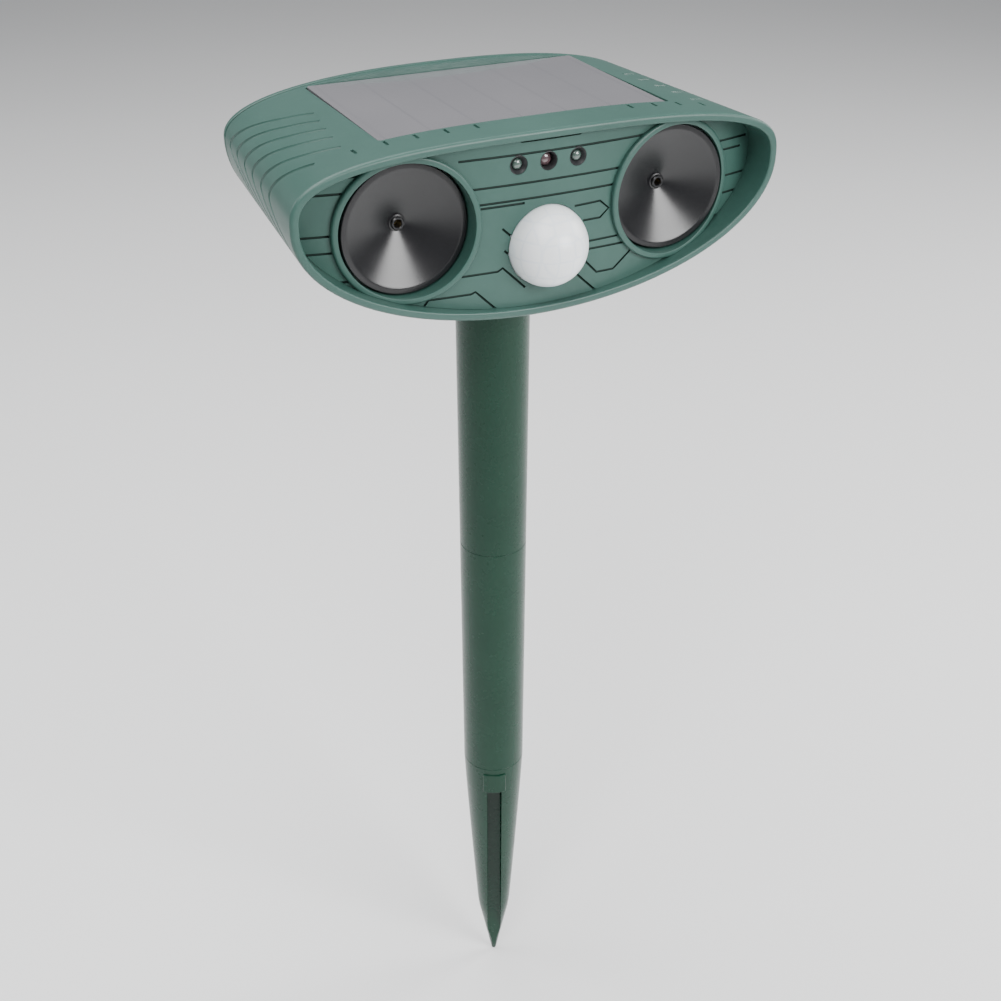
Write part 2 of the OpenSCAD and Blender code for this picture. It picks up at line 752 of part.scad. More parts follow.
module motion_sensor() color(steel) translate([0, 0, dome_z]) {
    disc_y(4.6, sensor_board_y - 4.2, sensor_board_y - 0.6);
    disc_y(5.1, sensor_board_y - 0.6, sensor_board_y);
}

// Round light with a domed front end, standing on the sensor board
module light(place, r, shade) color(shade) translate([place * light_spacing, 0, light_z]) {
    tip_y = front_surface(0) + 0.9;
    disc_y(r, tip_y + r, sensor_board_y);
    translate([0, tip_y + r, 0]) sphere(r = r);
    disc_y(r + 0.4, sensor_board_y - 1, sensor_board_y);
}

module flash_light_left() light(-1, light_r[0], [0.75, 0.80, 0.78]);
module flash_light_right() light(1, light_r[0], [0.75, 0.80, 0.78]);
module indicator_light() light(0, light_r[1], [0.75, 0.50, 0.52]);

module sensor_board() color(board_green)
    difference() {
        block([-13.5, sensor_board_y, dome_z - 8],
            [13.5, sensor_board_y + board_t, pocket_bottom_z - 0.3]);
        for (side = [-1, 1]) translate([side * board_post[0], 0, solar_z - board_post[1]])
            disc_y(screw_r + 0.2, sensor_board_y - over, sensor_board_y + board_t + over);
    }

// ---- Electronics behind the horns ----

module main_board() color(board_green) difference() {
    block([-main_board_size[0] / 2, main_board_y, door_z - main_board_size[1] / 2],
        [main_board_size[0] / 2, main_board_y + board_t, door_z + main_board_size[1] / 2]);
    for (p = board_points) translate([p[0], 0, door_z + p[1]])
        disc_y(screw_r + 0.2, main_board_y - over, main_board_y + board_t + over);
}

// Something square on the main board's front: its place and its size [width, depth, height]
module on_board(x, z, size)
    block([x - size[0] / 2, main_board_y - size[1], door_z + z - size[2] / 2],
        [x + size[0] / 2, main_board_y, door_z + z + size[2] / 2]);

module main_board_chips() color(black) {
    on_board(-9, 4, controller_size);
    on_board(10, -6, driver_chip_size);
    on_board(0, -10, header_size);
    for (side = [-1, 1]) on_board(side * 32, 0, transformer_size);
    translate([10, 0, door_z + 6])
        disc_y(capacitor_size[0], main_board_y - capacitor_size[1], main_board_y);
}

// Small board that carries the charging socket on the cover's two pins
module port_board() color(board_green) translate([-side_offset, 0, side_z]) difference() {
    block([-socket_w / 2 - 1, port_board_y, -port_post_z - port_post_r],
        [socket_w / 2 + 1, port_board_y + board_t, port_post_z + port_post_r]);
    for (side = [-1, 1]) translate([0, 0, side * port_post_z])
        disc_y(1.08, port_board_y - over, port_board_y + board_t + over);
}

module rotary_switch() color(black) translate([side_offset, 0, side_z]) difference() {
    block([-switch_w / 2, inner_cover_y - bush_len, -switch_w / 2],
        [switch_w / 2, inner_cover_y, switch_w / 2]);
    disc_y(shaft_r + shaft_gap, inner_cover_y - bush_len + 1.5, inner_cover_y + over);
}

// Knob with its shaft, a grip bar and a pointer notch
module mode_knob() color(black) translate([side_offset, 0, side_z]) difference() {
    union() {
        disc_y(knob_r, rear_y + 0.3, rear_y + knob_size[1] - 2.5);
        intersection() {
            disc_y(knob_r, rear_y + 0.3, rear_y + knob_size[1]);
            block([-2, rear_y + 0.3, -knob_r], [2, rear_y + knob_size[1], knob_r]);
        }
        disc_y(shaft_r, inner_cover_y - bush_len + 2, rear_y + 1);
    }
    block([-0.5, rear_y + knob_size[1] - 0.6, 2], [0.5, rear_y + knob_size[1] + over, knob_r + 1]);
}

module charging_socket() color(steel) translate([-side_offset, 0, side_z]) {
    mouth_y = rear_y - port_recess[2];
    difference() {
        block([-socket_w / 2, mouth_y - socket_len, -socket_h / 2],
            [socket_w / 2, mouth_y, socket_h / 2]);
        block([-socket_w / 2 + 0.35, mouth_y - socket_len + 1, -socket_h / 2 + 0.35],
            [socket_w / 2 - 0.35, mouth_y + over, socket_h / 2 - 0.35]);
    }
    block([-3.3, mouth_y - socket_len + 0.5, -0.35], [3.3, mouth_y - 0.8, 0.35]);
}

// Rubber plug: a cap in the recess, a hollow nib round the tongue and a pull tab
module charging_plug() color(black) translate([-side_offset, 0, side_z]) {
    mouth_y = rear_y - port_recess[2];
    half = [port_recess[0] / 2 - plug_gap, port_recess[1] / 2 - plug_gap];
    nib = [socket_w / 2 - 0.35 - plug_gap, socket_h / 2 - 0.35 - plug_gap];
    difference() {
        union() {
            block([-half[0], mouth_y + 0.1, -half[1]], [half[0], rear_y, half[1]]);
            block([-nib[0], mouth_y - 4, -nib[1]], [nib[0], mouth_y + 0.5, nib[1]]);
        }
        block([-3.5, mouth_y - 4 - over, -0.55], [3.5, mouth_y - 0.3, 0.55]);
    }
    block([-3, rear_y - 0.5, -0.6], [3, rear_y + 2.2, 0.6]);
}

// ---- Batteries ----

// Places of the screws in the tray's ears, as [x, height]
function tray_points() = [for (side = [-1, 1]) for (z = [1, -11])
    [side * (door_w / 2 + 4.3), door_z + z]];

module battery_tray() color(black) {
    difference() {
        block([-tray_half_w, tray_front_y, door_z - tray_half_h],
            [tray_half_w, frame_y, door_z + tray_half_h]);
        block([-bay_w / 2, tray_front_y + tray_wall, door_z - bay_h / 2],
            [bay_w / 2, frame_y + over, door_z + bay_h / 2]);
    }
    for (p = board_points) translate([p[0], 0, door_z + p[1]])
        ring_y(boss_r - 0.4, screw_r + thread_gap, main_board_y + board_t, tray_front_y + 0.3);
    for (p = tray_points()) difference() {
        block([min(p[0], sign(p[0]) * (tray_half_w - 0.5)), frame_y - tray_ear_t, p[1] - boss_r],
            [max(p[0], sign(p[0]) * (tray_half_w - 0.5)), frame_y, p[1] + boss_r]);
        translate([p[0], 0, p[1]]) disc_y(screw_r + 0.2, frame_y - 5, frame_y + over);
    }
    for (p = tray_points()) translate([p[0], 0, p[1]])
        ring_y(boss_r, screw_r + 0.2, frame_y - tray_ear_t, frame_y);
}

// One cell lying along X; flip turns its positive cap to the left
module battery_cell(row, flip) color([0.82, 0.83, 0.86])
    translate([0, cell_y, door_z + row * cell_pitch]) mirror([flip, 0, 0])
        translate([cap_end_x, 0, 0]) rotate([0, -90, 0]) {
            cylinder(h = cap_size[1] + 0.3, r = cap_size[0]);
            translate([0, 0, cap_size[1]]) cylinder(h = cell_len, r = cell_r);
        }

module battery_cell_top() battery_cell(1, 0);
module battery_cell_middle() battery_cell(0, 1);
module battery_cell_bottom() battery_cell(-1, 0);

// Stacked rings that narrow from the contact to the cell
module battery_springs() color(steel) for (row = [-1, 0, 1])
    translate([0, cell_y, door_z + row * cell_pitch]) mirror([row == 0 ? 1 : 0, 0, 0])
        translate([-bay_w / 2 + contact_t, 0, 0]) rotate([0, 90, 0]) {
            room = bay_w - 2 * contact_t - cell_len - cap_size[1];
            difference() {
                cylinder(h = room, r1 = 3.4, r2 = 2.4);
                translate([0, 0, -over]) cylinder(h = room + 2 * over, r = 1.7);
            }
        }

module battery_contacts() color(steel) for (row = [-1, 0, 1]) for (side = [-1, 1])
    translate([side * (bay_w / 2 - contact_t / 2), cell_y, door_z + row * cell_pitch])
        cube([contact_t, 8, 8], center = true);

// ---- Battery door ----

// The door's outline with its screw tab, grown by a margin
module door_shape(y0, y1, margin) {
    block([-door_w / 2 - margin, y0, door_z - door_h / 2 - margin],
        [door_w / 2 + margin, y1, door_z + door_h / 2 + margin]);
    translate([0, 0, door_screw_z]) disc_y(door_tab[0] + margin, y0, y1);
}

module battery_door() color(green) difference() {
    door_shape(door_back_y, rear_y, 0);
    translate([0, 0, door_screw_z]) disc_y(screw_r + 0.15, door_back_y - over, rear_y + over);
}

module door_seal() color(black) difference() {
    door_shape(rebate_y, door_back_y, -0.3);
    block([-bay_w / 2 - 0.2, rebate_y - over, door_z - bay_h / 2 - 0.2],
        [bay_w / 2 + 0.2, door_back_y + over, door_z + bay_h / 2 + 0.2]);
    translate([0, 0, door_screw_z]) disc_y(screw_r + 0.4, rebate_y - over, rear_y);
}

module door_screw() color(steel) translate([0, 0, door_screw_z])
    screw_to_front(rear_y, door_screw_len);

// ---- Screws ----

module cover_screws() color(steel) for (p = cover_points)
    translate([p[0], 0, solar_z - p[1]]) screw_to_front(rear_y, screw_len);

module panel_screws() color(steel) for (p = panel_points)
    translate([p[0], 0, solar_z - p[1]])
        screw_to_front(lug_y(p[0]) + lug_plate_t, lug_plate_t + panel_boss_len - 0.5);

module tray_screws() color(steel) for (p = tray_points())
    translate([p[0], 0, p[1]]) screw_to_rear(frame_y - tray_ear_t, 5);

module board_screws() color(steel) {
    for (p = board_points) translate([p[0], 0, door_z + p[1]])
        screw_to_rear(main_board_y, board_t + 3);
    for (side = [-1, 1]) translate([side * board_post[0], 0, solar_z - board_post[1]])
        screw_to_front(sensor_board_y + board_t, board_t + 3);
}

ground_spike();
stake_tube_lower();
stake_tube_upper();
housing_shell();
front_panel();
rear_cover();
rear_seal();
solar_glass();
solar_cells();
solar_backing_board();
solar_foam();
horn_left();
horn_right();
horn_foam_left();
horn_foam_right();
piezo_driver_left();
piezo_driver_right();
sensor_dome();
motion_sensor();
flash_light_left();
flash_light_right();
indicator_light();
sensor_board();
main_board();
main_board_chips();
port_board();
rotary_switch();
mode_knob();
charging_socket();
charging_plug();
battery_tray();
battery_cell_top();
battery_cell_middle();
battery_cell_bottom();
battery_springs();
battery_contacts();
battery_door();
door_seal();
door_screw();
cover_screws();
panel_screws();
tray_screws();
board_screws();
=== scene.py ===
import math

import bpy
from mathutils import Matrix, Vector


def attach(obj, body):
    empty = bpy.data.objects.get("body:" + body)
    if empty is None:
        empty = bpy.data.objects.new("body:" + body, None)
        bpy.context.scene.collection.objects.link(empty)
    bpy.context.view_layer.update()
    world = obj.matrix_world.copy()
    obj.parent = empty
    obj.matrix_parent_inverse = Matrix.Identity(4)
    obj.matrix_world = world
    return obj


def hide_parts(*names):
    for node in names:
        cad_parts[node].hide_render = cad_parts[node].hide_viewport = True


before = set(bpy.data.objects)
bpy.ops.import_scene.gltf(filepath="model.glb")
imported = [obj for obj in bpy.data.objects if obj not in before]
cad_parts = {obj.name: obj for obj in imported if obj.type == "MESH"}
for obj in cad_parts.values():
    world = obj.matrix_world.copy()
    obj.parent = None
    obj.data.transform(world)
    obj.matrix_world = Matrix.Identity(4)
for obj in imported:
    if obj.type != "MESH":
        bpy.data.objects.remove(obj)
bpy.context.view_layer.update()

# Everything below is in millimetres in the part's own frame, and MM turns it into metres.
MM = 0.001

# ---- The part's own sizes ----

# The stake, from the tip up: heights, radii and half widths

LOW_SEAM, HIGH_SEAM, STAKE_TOP = 109.4, 205.1, 300.8
STAKE_R = {LOW_SEAM: 10.99, HIGH_SEAM: 11.27, STAKE_TOP: 11.55}
SEAM = 0.22  # how far the outer edges of the stake's ends are softened
BORE_R, SPIGOT_R, SPIGOT_LEN, SPIGOT_WALL = 8.6, 8.5, 18, 1.8
KEY_HALF, KEYWAY_HALF, KEYWAY_REACH = 1, 1.15, 9.85
TIP_TOP, TIP_R, POINT_R = 29, 6.2, 0.95  # the spike's tapered tip and the radius of its point
JOINT_TO_SLOT, SLOT_HALF, SLOT_TURN = 11.2, 2.7, -23
LUG_HALF, LUG_H, LUG_RISE = 4.25, 8.6, 0.9
FOOT_R = 12.45

# The head. Each DROP is measured down from the solar panel's top.
FRONT, REAR = -37.4, 41.0
KEEL, PANEL_TOP = 303.2, 353.6
HEAD_W, HEAD_H, REAR_NARROWING = 145.6, 50.4, 10
WALL = 2.4
COVER_FRONT, SEAL_FRONT = 38.4, 37.6
CURVE_R, FRONT_RECESS = 300, 2
HORN_X, HORN_DROP = 40, 21.7
DOME_R, DOME_DROP = 11.4, 31
LIGHT_X, LIGHT_DROP = 8.86, 7.5
SOLAR = (86.4, -23.8, 35.2)  # width, front edge, rear edge
CELL_GAP, CELL_COUNT, CELL_MARGIN = 0.6, 6, 2.5

# What the rear cover holds
DOOR_DROP, DOOR_W, DOOR_H, DOOR_T = 25, 58.4, 37.4, 2.2
DOOR_Z = PANEL_TOP - DOOR_DROP
TAB_Z = DOOR_Z - DOOR_H / 2 - 1.6  # the door's screw tab
SIDE_X, SIDE_Z = 46, PANEL_TOP - 24  # the knob, and the charging port on the other side
PORT_RECESS = 1.6
HANG_X, HANG_DROP, HANG_R, HANG_SLOT_HALF, HANG_RISE = 35.5, 14.4, 3.8, 2.1, 3.2


def front_y(x):
    """The front panel's surface: a wide cylinder about an upright axis."""
    return FRONT + FRONT_RECESS + CURVE_R - math.sqrt(CURVE_R**2 - x**2)


def waist_drop(y):
    """How far down the head's widest line is at depth y."""
    return 16 - 2.4 * (y - FRONT) / (REAR - FRONT)


def outline_point(y, turn, inset):
    """A point on the head's cross-section. turn is degrees from the right end, anticlockwise."""
    share = (y - FRONT) / (REAR - FRONT)
    half_w = (HEAD_W - REAR_NARROWING * share) / 2 - inset
    waist = waist_drop(y)
    if turn < 180:
        power, height = 3.2 - 0.8 * share, waist + 1.6 + 0.3 * share - inset
    else:
        power, height = 2 + 0.1 * share, HEAD_H - waist - inset
    c, s = math.cos(math.radians(turn)), math.sin(math.radians(turn))
    x = half_w * math.copysign(abs(c) ** (2 / power), c)
    z = height * math.copysign(abs(s) ** (2 / power), s)
    return x, PANEL_TOP - waist + z


QUARTER = 40  # points in each quarter of a loop of the head


def turns():
    """Angles round the outline, closer together at the ends and at the crown."""
    for quarter in range(4):
        for i in range(QUARTER):
            t = i / QUARTER
            yield 90 * (quarter + t * t * (3 - 2 * t))


def head_ring(y, inset):
    """One loop of the head: straight lines run from its front outline to its rear one."""
    lo, hi = FRONT - 1, REAR + 1
    share = (y - lo) / (hi - lo)
    ring = []
    for turn in turns():
        a, b = outline_point(lo, turn, inset), outline_point(hi, turn, inset)
        ring.append((a[0] + (b[0] - a[0]) * share, y, a[1] + (b[1] - a[1]) * share))
    return ring


def side_x(y, z):
    """How far out the head's skin is at depth y and height z."""
    lo, hi = (0.0, 90.0) if z > PANEL_TOP - waist_drop(y) else (270.0, 360.0)
    for _ in range(30):
        mid = (lo + hi) / 2
        if outline_point(y, mid, 0)[1] < z:
            lo = mid
        else:
            hi = mid
    return outline_point(y, lo, 0)[0]


# ---- Making and shaping pieces ----


def deselect():
    if bpy.context.object and bpy.context.object.mode == "EDIT":
        bpy.ops.object.mode_set(mode="OBJECT")
    bpy.ops.object.select_all(action="DESELECT")


def only(piece):
    deselect()
    piece.select_set(True)
    bpy.context.view_layer.objects.active = piece


def edit(piece, everything=True):
    """Goes into edit mode on a piece."""
    only(piece)
    bpy.ops.object.mode_set(mode="EDIT")
    if everything:
        bpy.ops.mesh.select_all(action="SELECT")


def leave():
    bpy.ops.object.mode_set(mode="OBJECT")


def named(name):
    """Names the new primitive and puts its place into its mesh."""
    piece = bpy.context.object
    piece.name = piece.data.name = name
    bpy.ops.object.transform_apply(location=True, rotation=True, scale=True)
    return piece


def box(name, low, high, edge=0, steps=2):
    """A block between two corners, with its edges rounded."""
    deselect()
    middle = [(a + b) / 2 * MM for a, b in zip(low, high)]
    bpy.ops.mesh.primitive_cube_add(size=1, location=middle)
    bpy.context.object.scale = [(b - a) * MM for a, b in zip(low, high)]
    piece = named(name)
    if edge:
        round_edges(piece, edge, steps)
    return piece


def rod(name, r, start, end, sides):
    """A round bar between two points."""
    deselect()
    a, b = Vector(start) * MM, Vector(end) * MM
    turn = (b - a).to_track_quat("Z", "Y").to_euler()
    bpy.ops.mesh.primitive_cone_add(
        vertices=sides, radius1=r * MM, radius2=r * MM,
        depth=(b - a).length, location=(a + b) / 2, rotation=turn)
    return named(name)


def drill(name, r, x, z, front, rear, sides):
    """A round bar that runs front to back."""
    return rod(name, r, (x, front, z), (x, rear, z), sides)


def polar(x, z, r, degrees):
    """A place round a centre, seen from the front or the rear."""
    a = math.radians(degrees)
    return x + r * math.cos(a), z + r * math.sin(a)


def pick(piece, mode, test):
    """Goes into edit mode with the edges or faces that pass the test selected.
    The test gets an edge's two ends, or a face's middle and normal, in millimetres."""
    edit(piece, False)
    bpy.ops.mesh.select_mode(type=mode)
    bpy.ops.mesh.select_all(action="DESELECT")
    leave()
    mesh = piece.data
    if mode == "EDGE":
        co = [v.co / MM for v in mesh.vertices]
        for e in mesh.edges:
            e.select = test(co[e.vertices[0]], co[e.vertices[1]])
    else:
        for f in mesh.polygons:
            f.select = test(f.center / MM, f.normal)
    bpy.ops.object.mode_set(mode="EDIT")


def apply_modifier(piece, kind, **settings):
    only(piece)
    m = piece.modifiers.new(kind, kind)
    for key, value in settings.items():
        setattr(m, key, value)
    bpy.ops.object.modifier_apply(modifier=m.name)
    return piece


def round_edges(piece, width, steps=2, angle=40):
    return apply_modifier(piece, "BEVEL", width=width * MM, segments=steps,
                          limit_method="ANGLE", angle_limit=math.radians(angle),
                          use_clamp_overlap=True, harden_normals=False)


def round_along(piece, axis, r, steps=5):
    """Rounds the four edges of a block that run along axis 1 (front to back) or 2 (upright)."""
    across = [i for i in range(3) if i != axis]
    pick(piece, "EDGE", lambda a, b: sum(abs(a[i] - b[i]) for i in across) < 0.001)
    bpy.ops.mesh.bevel(offset=r * MM, segments=steps, affect="EDGES")
    leave()


def cut(piece, *cutters, way="DIFFERENCE", lining=None):
    """Cuts, adds or keeps by solid shapes, which are used up. They are joined first.
    lining is a material for the faces that the cut makes."""
    tool = join(list(cutters)) if len(cutters) > 1 else cutters[0]
    if lining:
        tool.data.materials.clear()
        tool.data.materials.append(lining)
    apply_modifier(piece, "BOOLEAN", operation=way, object=tool, solver="EXACT",
                   use_self=len(cutters) > 1, material_mode="TRANSFER" if lining else "INDEX")
    bpy.data.objects.remove(tool)
    return piece


def join(parts, name=None):
    only(parts[0])
    for part in parts[1:]:
        part.select_set(True)
    if len(parts) > 1:
        bpy.ops.object.join()
    piece = bpy.context.object
    if name:
        piece.name = piece.data.name = name
    return piece


def tidy_mesh(piece):
    """Closes doubled points and turns every face outwards."""
    edit(piece)
    bpy.ops.mesh.remove_doubles(threshold=0.002 * MM)
    bpy.ops.mesh.delete_loose(use_verts=True, use_edges=True, use_faces=False)
    bpy.ops.mesh.select_all(action="SELECT")
    bpy.ops.mesh.normals_make_consistent(inside=False)
    leave()
    return piece


def loft(name, rings, ends="closed"):
    """A skin through rings of points. It starts as a circle whose loop is extruded to each next ring.
    ends: closed joins the last ring to the first, flat puts a face on both ends."""
    deselect()
    n = len(rings[0])
    bpy.ops.mesh.primitive_circle_add(vertices=n, radius=1, fill_type="NOTHING")
    piece = named(name)
    mesh = piece.data
    row = list(range(n))
    first = row

    def put(row, ring):
        for i, p in zip(row, ring):
            mesh.vertices[i].co = [c * MM for c in p]

    put(row, rings[0])
    edit(piece, False)
    bpy.ops.mesh.select_mode(type="EDGE")
    bpy.ops.mesh.select_all(action="SELECT")
    for ring in rings[1:]:
        bpy.ops.mesh.extrude_region_move()
        leave()
        mesh = piece.data
        place = {tuple(round(c, 8) for c in mesh.vertices[i].co): k for k, i in enumerate(row)}
        old = set(row)
        new = [None] * n
        for v in mesh.vertices:
            if v.select and v.index not in old:
                new[place[tuple(round(c, 8) for c in v.co)]] = v.index
        row = new
        put(row, ring)
        bpy.ops.object.mode_set(mode="EDIT")
    if ends == "flat":
        bpy.ops.mesh.edge_face_add()
    leave()
    wanted = set(first) | (set(row) if ends == "closed" else set())
    for e in piece.data.edges:
        e.select = e.vertices[0] in wanted and e.vertices[1] in wanted
    edit(piece, False)
    bpy.ops.mesh.select_mode(type="EDGE")
    if ends == "closed":
        bpy.ops.mesh.bridge_edge_loops()
    elif ends == "flat":
        bpy.ops.mesh.edge_face_add()
    leave()
    return tidy_mesh(piece)


def spun(name, profile, centre=(0, 0, 0), axis="Z", steps=96):
    """A turned solid. profile is (radius, along) in order round its section; axis Y points to the rear."""
    deselect()
    bpy.ops.mesh.primitive_circle_add(vertices=len(profile), radius=1, fill_type="NOTHING")
    piece = named(name)
    for v, (r, along) in zip(piece.data.vertices, profile):
        flat = (r, 0, along) if axis == "Z" else (r, along, 0)
        v.co = [(a + b) * MM for a, b in zip(flat, centre)]
    edit(piece)
    bpy.ops.mesh.spin(steps=steps, angle=2 * math.pi, center=[c * MM for c in centre],
                      axis=(0, 0, 1) if axis == "Z" else (0, 1, 0))
    leave()
    return tidy_mesh(piece)


def corner(middle, r, start, end, steps=4):
    """Points of a rounded corner in a section, from one angle to another."""
    return [polar(*middle, r, start + (end - start) * i / steps) for i in range(steps + 1)]


def wire(name, points, r, sides=8):
    """A round tube along points, closed at both ends."""
    curve = bpy.data.curves.new(name, "CURVE")
    curve.dimensions = "3D"
    curve.bevel_depth = r * MM
    curve.bevel_resolution = sides // 2 - 2
    curve.use_fill_caps = True
    line = curve.splines.new("POLY")
    line.points.add(len(points) - 1)
    for spot, p in zip(line.points, points):
        spot.co = (*[c * MM for c in p], 1)
    piece = bpy.data.objects.new(name, curve)
    bpy.context.scene.collection.objects.link(piece)
    only(piece)
    bpy.ops.object.convert(target="MESH")
    return tidy_mesh(bpy.context.object)


def smooth_line(points, per):
    """A soft curve through points."""
    out, last = [], len(points) - 1
    for i in range(last):
        a, b, c, d = [Vector(points[max(0, min(last, i + k))]) for k in (-1, 0, 1, 2)]
        for j in range(per):
            t = j / per
            out.append(0.5 * ((2 * b) + (c - a) * t + (2 * a - 5 * b + 4 * c - d) * t * t
                              + (3 * b - a - 3 * c + d) * t**3))
    return out + [Vector(points[-1])]


def copied(piece, name, move=(0, 0, 0)):
    """Another of the same piece with its own mesh, moved over."""
    twin = piece.copy()
    twin.data = piece.data.copy()
    twin.name = twin.data.name = name
    bpy.context.scene.collection.objects.link(twin)
    twin.data.transform(Matrix.Translation([m * MM for m in move]))
    return twin


def finished(piece, body, finish, nodes=(), angle=35):
    """Cleans and smooths a finished piece, puts it on its body and gives it its material
    unless it already has its own."""
    edit(piece)
    bpy.ops.mesh.remove_doubles(threshold=0.001 * MM)
    bpy.ops.mesh.dissolve_degenerate(threshold=0.003 * MM)
    bpy.ops.mesh.delete_loose(use_verts=True, use_edges=True, use_faces=False)
    leave()
    bpy.ops.object.shade_smooth_by_angle(angle=math.radians(angle))
    apply_modifier(piece, "WEIGHTED_NORMAL", keep_sharp=True, weight=60)
    if not piece.data.materials:
        piece.data.materials.append(finish)
    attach(piece, body)
    if nodes:
        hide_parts(*nodes)


# ---- Shader maths ----


class Value:
    """A socket that can be reckoned with: an expression on it adds its Math nodes."""

    def __init__(self, finish, socket):
        self.finish, self.socket = finish, socket

    def _with(self, way, other):
        return self.finish.node("ShaderNodeMath", {"operation": way}, {0: self, 1: other})

    def __add__(self, other):
        return self._with("ADD", other)

    __radd__ = __add__

    def __mul__(self, other):
        return self._with("MULTIPLY", other)

    __rmul__ = __mul__

    def __sub__(self, other):
        return self._with("SUBTRACT", other)

    def __truediv__(self, other):
        return self._with("DIVIDE", other)

    def __gt__(self, other):
        return self._with("GREATER_THAN", other)

    def __lt__(self, other):
        return self._with("LESS_THAN", other)


FADE = (0, 0, 0), (1, 1, 1)


class Finish:
    """A material on a Principled shader, with its patterns in object space."""

    def __init__(self, name, **plain):
        self.material = bpy.data.materials.new(name)
        self.material.use_nodes = True
        self.tree = self.material.node_tree
        self.shader = self.tree.nodes["Principled BSDF"]
        for key, value in plain.items():
            socket = key.replace("_", " ").title().replace("Ior", "IOR")
            self.shader.inputs[socket].default_value = value
        self.place = self.node("ShaderNodeTexCoord", {}, {}, "Object")

    def node(self, kind, settings, values, out=0):
        made = self.tree.nodes.new(kind)
        for key, value in settings.items():
            if key == "stops":
                ramp = made.color_ramp
                while len(ramp.elements) < len(value):
                    ramp.elements.new(0.5)
                for stop, (at, colour) in zip(ramp.elements, value):
                    stop.position = at
                    stop.color = (*colour, 1)
            else:
                setattr(made, key, value)
        for key, value in values.items():
            if isinstance(value, Value):
                self.tree.links.new(value.socket, made.inputs[key])
            else:
                made.inputs[key].default_value = value
        return Value(self, made.outputs[out])

    def link(self, key, value):
        self.tree.links.new(value.socket, self.shader.inputs[key])

    def noise(self, scale, detail=2, rough=0.5):
        return self.node("ShaderNodeTexNoise", {}, {"Vector": self.place, "Scale": scale,
                                                    "Detail": detail, "Roughness": rough})

    def along(self, axis):
        return self.node("ShaderNodeSeparateXYZ", {}, {"Vector": self.place}, axis)

    def stripes(self, axis, half_pitch, width):
        """Narrow bands across an axis, in millimetres."""
        waves = self.node("ShaderNodeMath", {"operation": "PINGPONG"}, {0: self.along(axis) / MM, 1: half_pitch})
        return waves < width

    def ramp(self, value, low, high):
        """Black below low, fading to white above high."""
        stops = list(zip((low, high), FADE))
        return self.node("ShaderNodeValToRGB", {"stops": stops}, {"Fac": value})

    def blend(self, share, a, b):
        def full(c):
            return c if isinstance(c, Value) else (*c, 1)
        return self.node("ShaderNodeMix", {"data_type": "RGBA"}, {0: share, 6: full(a), 7: full(b)}, 2)

    def bump(self, height, strength, distance, below=None):
        values = {"Height": height, "Strength": strength, "Distance": distance * MM}
        if below:
            values["Normal"] = below
        return self.node("ShaderNodeBump", {}, values)


def moulded(name, colour, deep, roughness, grain, grain_size, **plain):
    """Moulded plastic: a fine grain, soft cloudiness in its colour and gloss, and a slight orange peel."""
    f = Finish(name, **plain)
    cloud = f.noise(30, 3)
    speck = f.noise(420, 2)
    f.link("Base Color", f.blend(f.ramp(cloud * 0.75 + speck * 0.25, 0.36, 0.66), deep, colour))
    f.link("Roughness", roughness + 0.12 * (f.noise(75, 4) - 0.5) + 0.06 * (speck - 0.5))
    fine = f.bump(f.noise(1000 / grain_size, 3, 0.6), grain, 0.05)
    f.link("Normal", f.bump(f.noise(90, 2), 0.02, 0.2, fine))
    return f.material


HOUSING = moulded("housing_green_plastic", (0.036, 0.094, 0.077), (0.029, 0.080, 0.065),
                  0.42, 0.35, 0.35, specular_ior_level=0.5)
# A darker copy of the housing plastic for the walls of the front panel's grooves: painted shade in the grooves.
PAINTED_GROOVE_SHADE = moulded("housing_green_painted_groove_shade", (0.008, 0.024, 0.019), (0.006, 0.018, 0.014),
                 0.6, 0.35, 0.35, specular_ior_level=0.25)
STAKE = moulded("stake_green_plastic", (0.005, 0.038, 0.021), (0.003, 0.030, 0.016),
                0.27, 0.05, 0.6, specular_ior_level=0.25)
BLACK = moulded("black_plastic", (0.022, 0.023, 0.025), (0.014, 0.015, 0.016), 0.5, 0.3, 0.3)
WHITE_BOARD = moulded("glass_fibre_laminate", (0.62, 0.63, 0.58), (0.52, 0.54, 0.50), 0.5, 0.2, 0.4)


def rubber():
    f = Finish("soft_black_rubber", specular_ior_level=0.3)
    dust = f.noise(220, 4)
    f.link("Base Color", f.blend(f.ramp(dust, 0.45, 0.75), (0.012, 0.012, 0.013), (0.035, 0.036, 0.037)))
    f.link("Roughness", 0.62 + 0.2 * (dust - 0.5))
    f.link("Normal", f.bump(f.noise(2600, 2), 0.25, 0.05))
    return f.material


def foam():
    f = Finish("closed_cell_foam", roughness=0.9, specular_ior_level=0.2)
    cells = f.node("ShaderNodeTexVoronoi", {}, {"Vector": f.place, "Scale": 1800.0})
    f.link("Base Color", f.blend(cells, (0.020, 0.020, 0.021), (0.050, 0.050, 0.052)))
    f.link("Normal", f.bump(cells, 0.6, 0.15))
    return f.material


def lacquer():
    """Dark glossy lacquer on the horns, with a faint fine flake."""
    f = Finish("dark_horn_lacquer", specular_ior_level=0.55)
    flakes = f.noise(3200, 2, 0.7)
    f.link("Base Color", f.blend(f.ramp(flakes, 0.35, 0.7), (0.006, 0.006, 0.007), (0.011, 0.011, 0.0125)))
    f.link("Roughness", 0.25 + 0.06 * (f.noise(160, 2) - 0.5))
    f.link("Normal", f.bump(f.noise(120, 1), 0.03, 0.15))
    return f.material


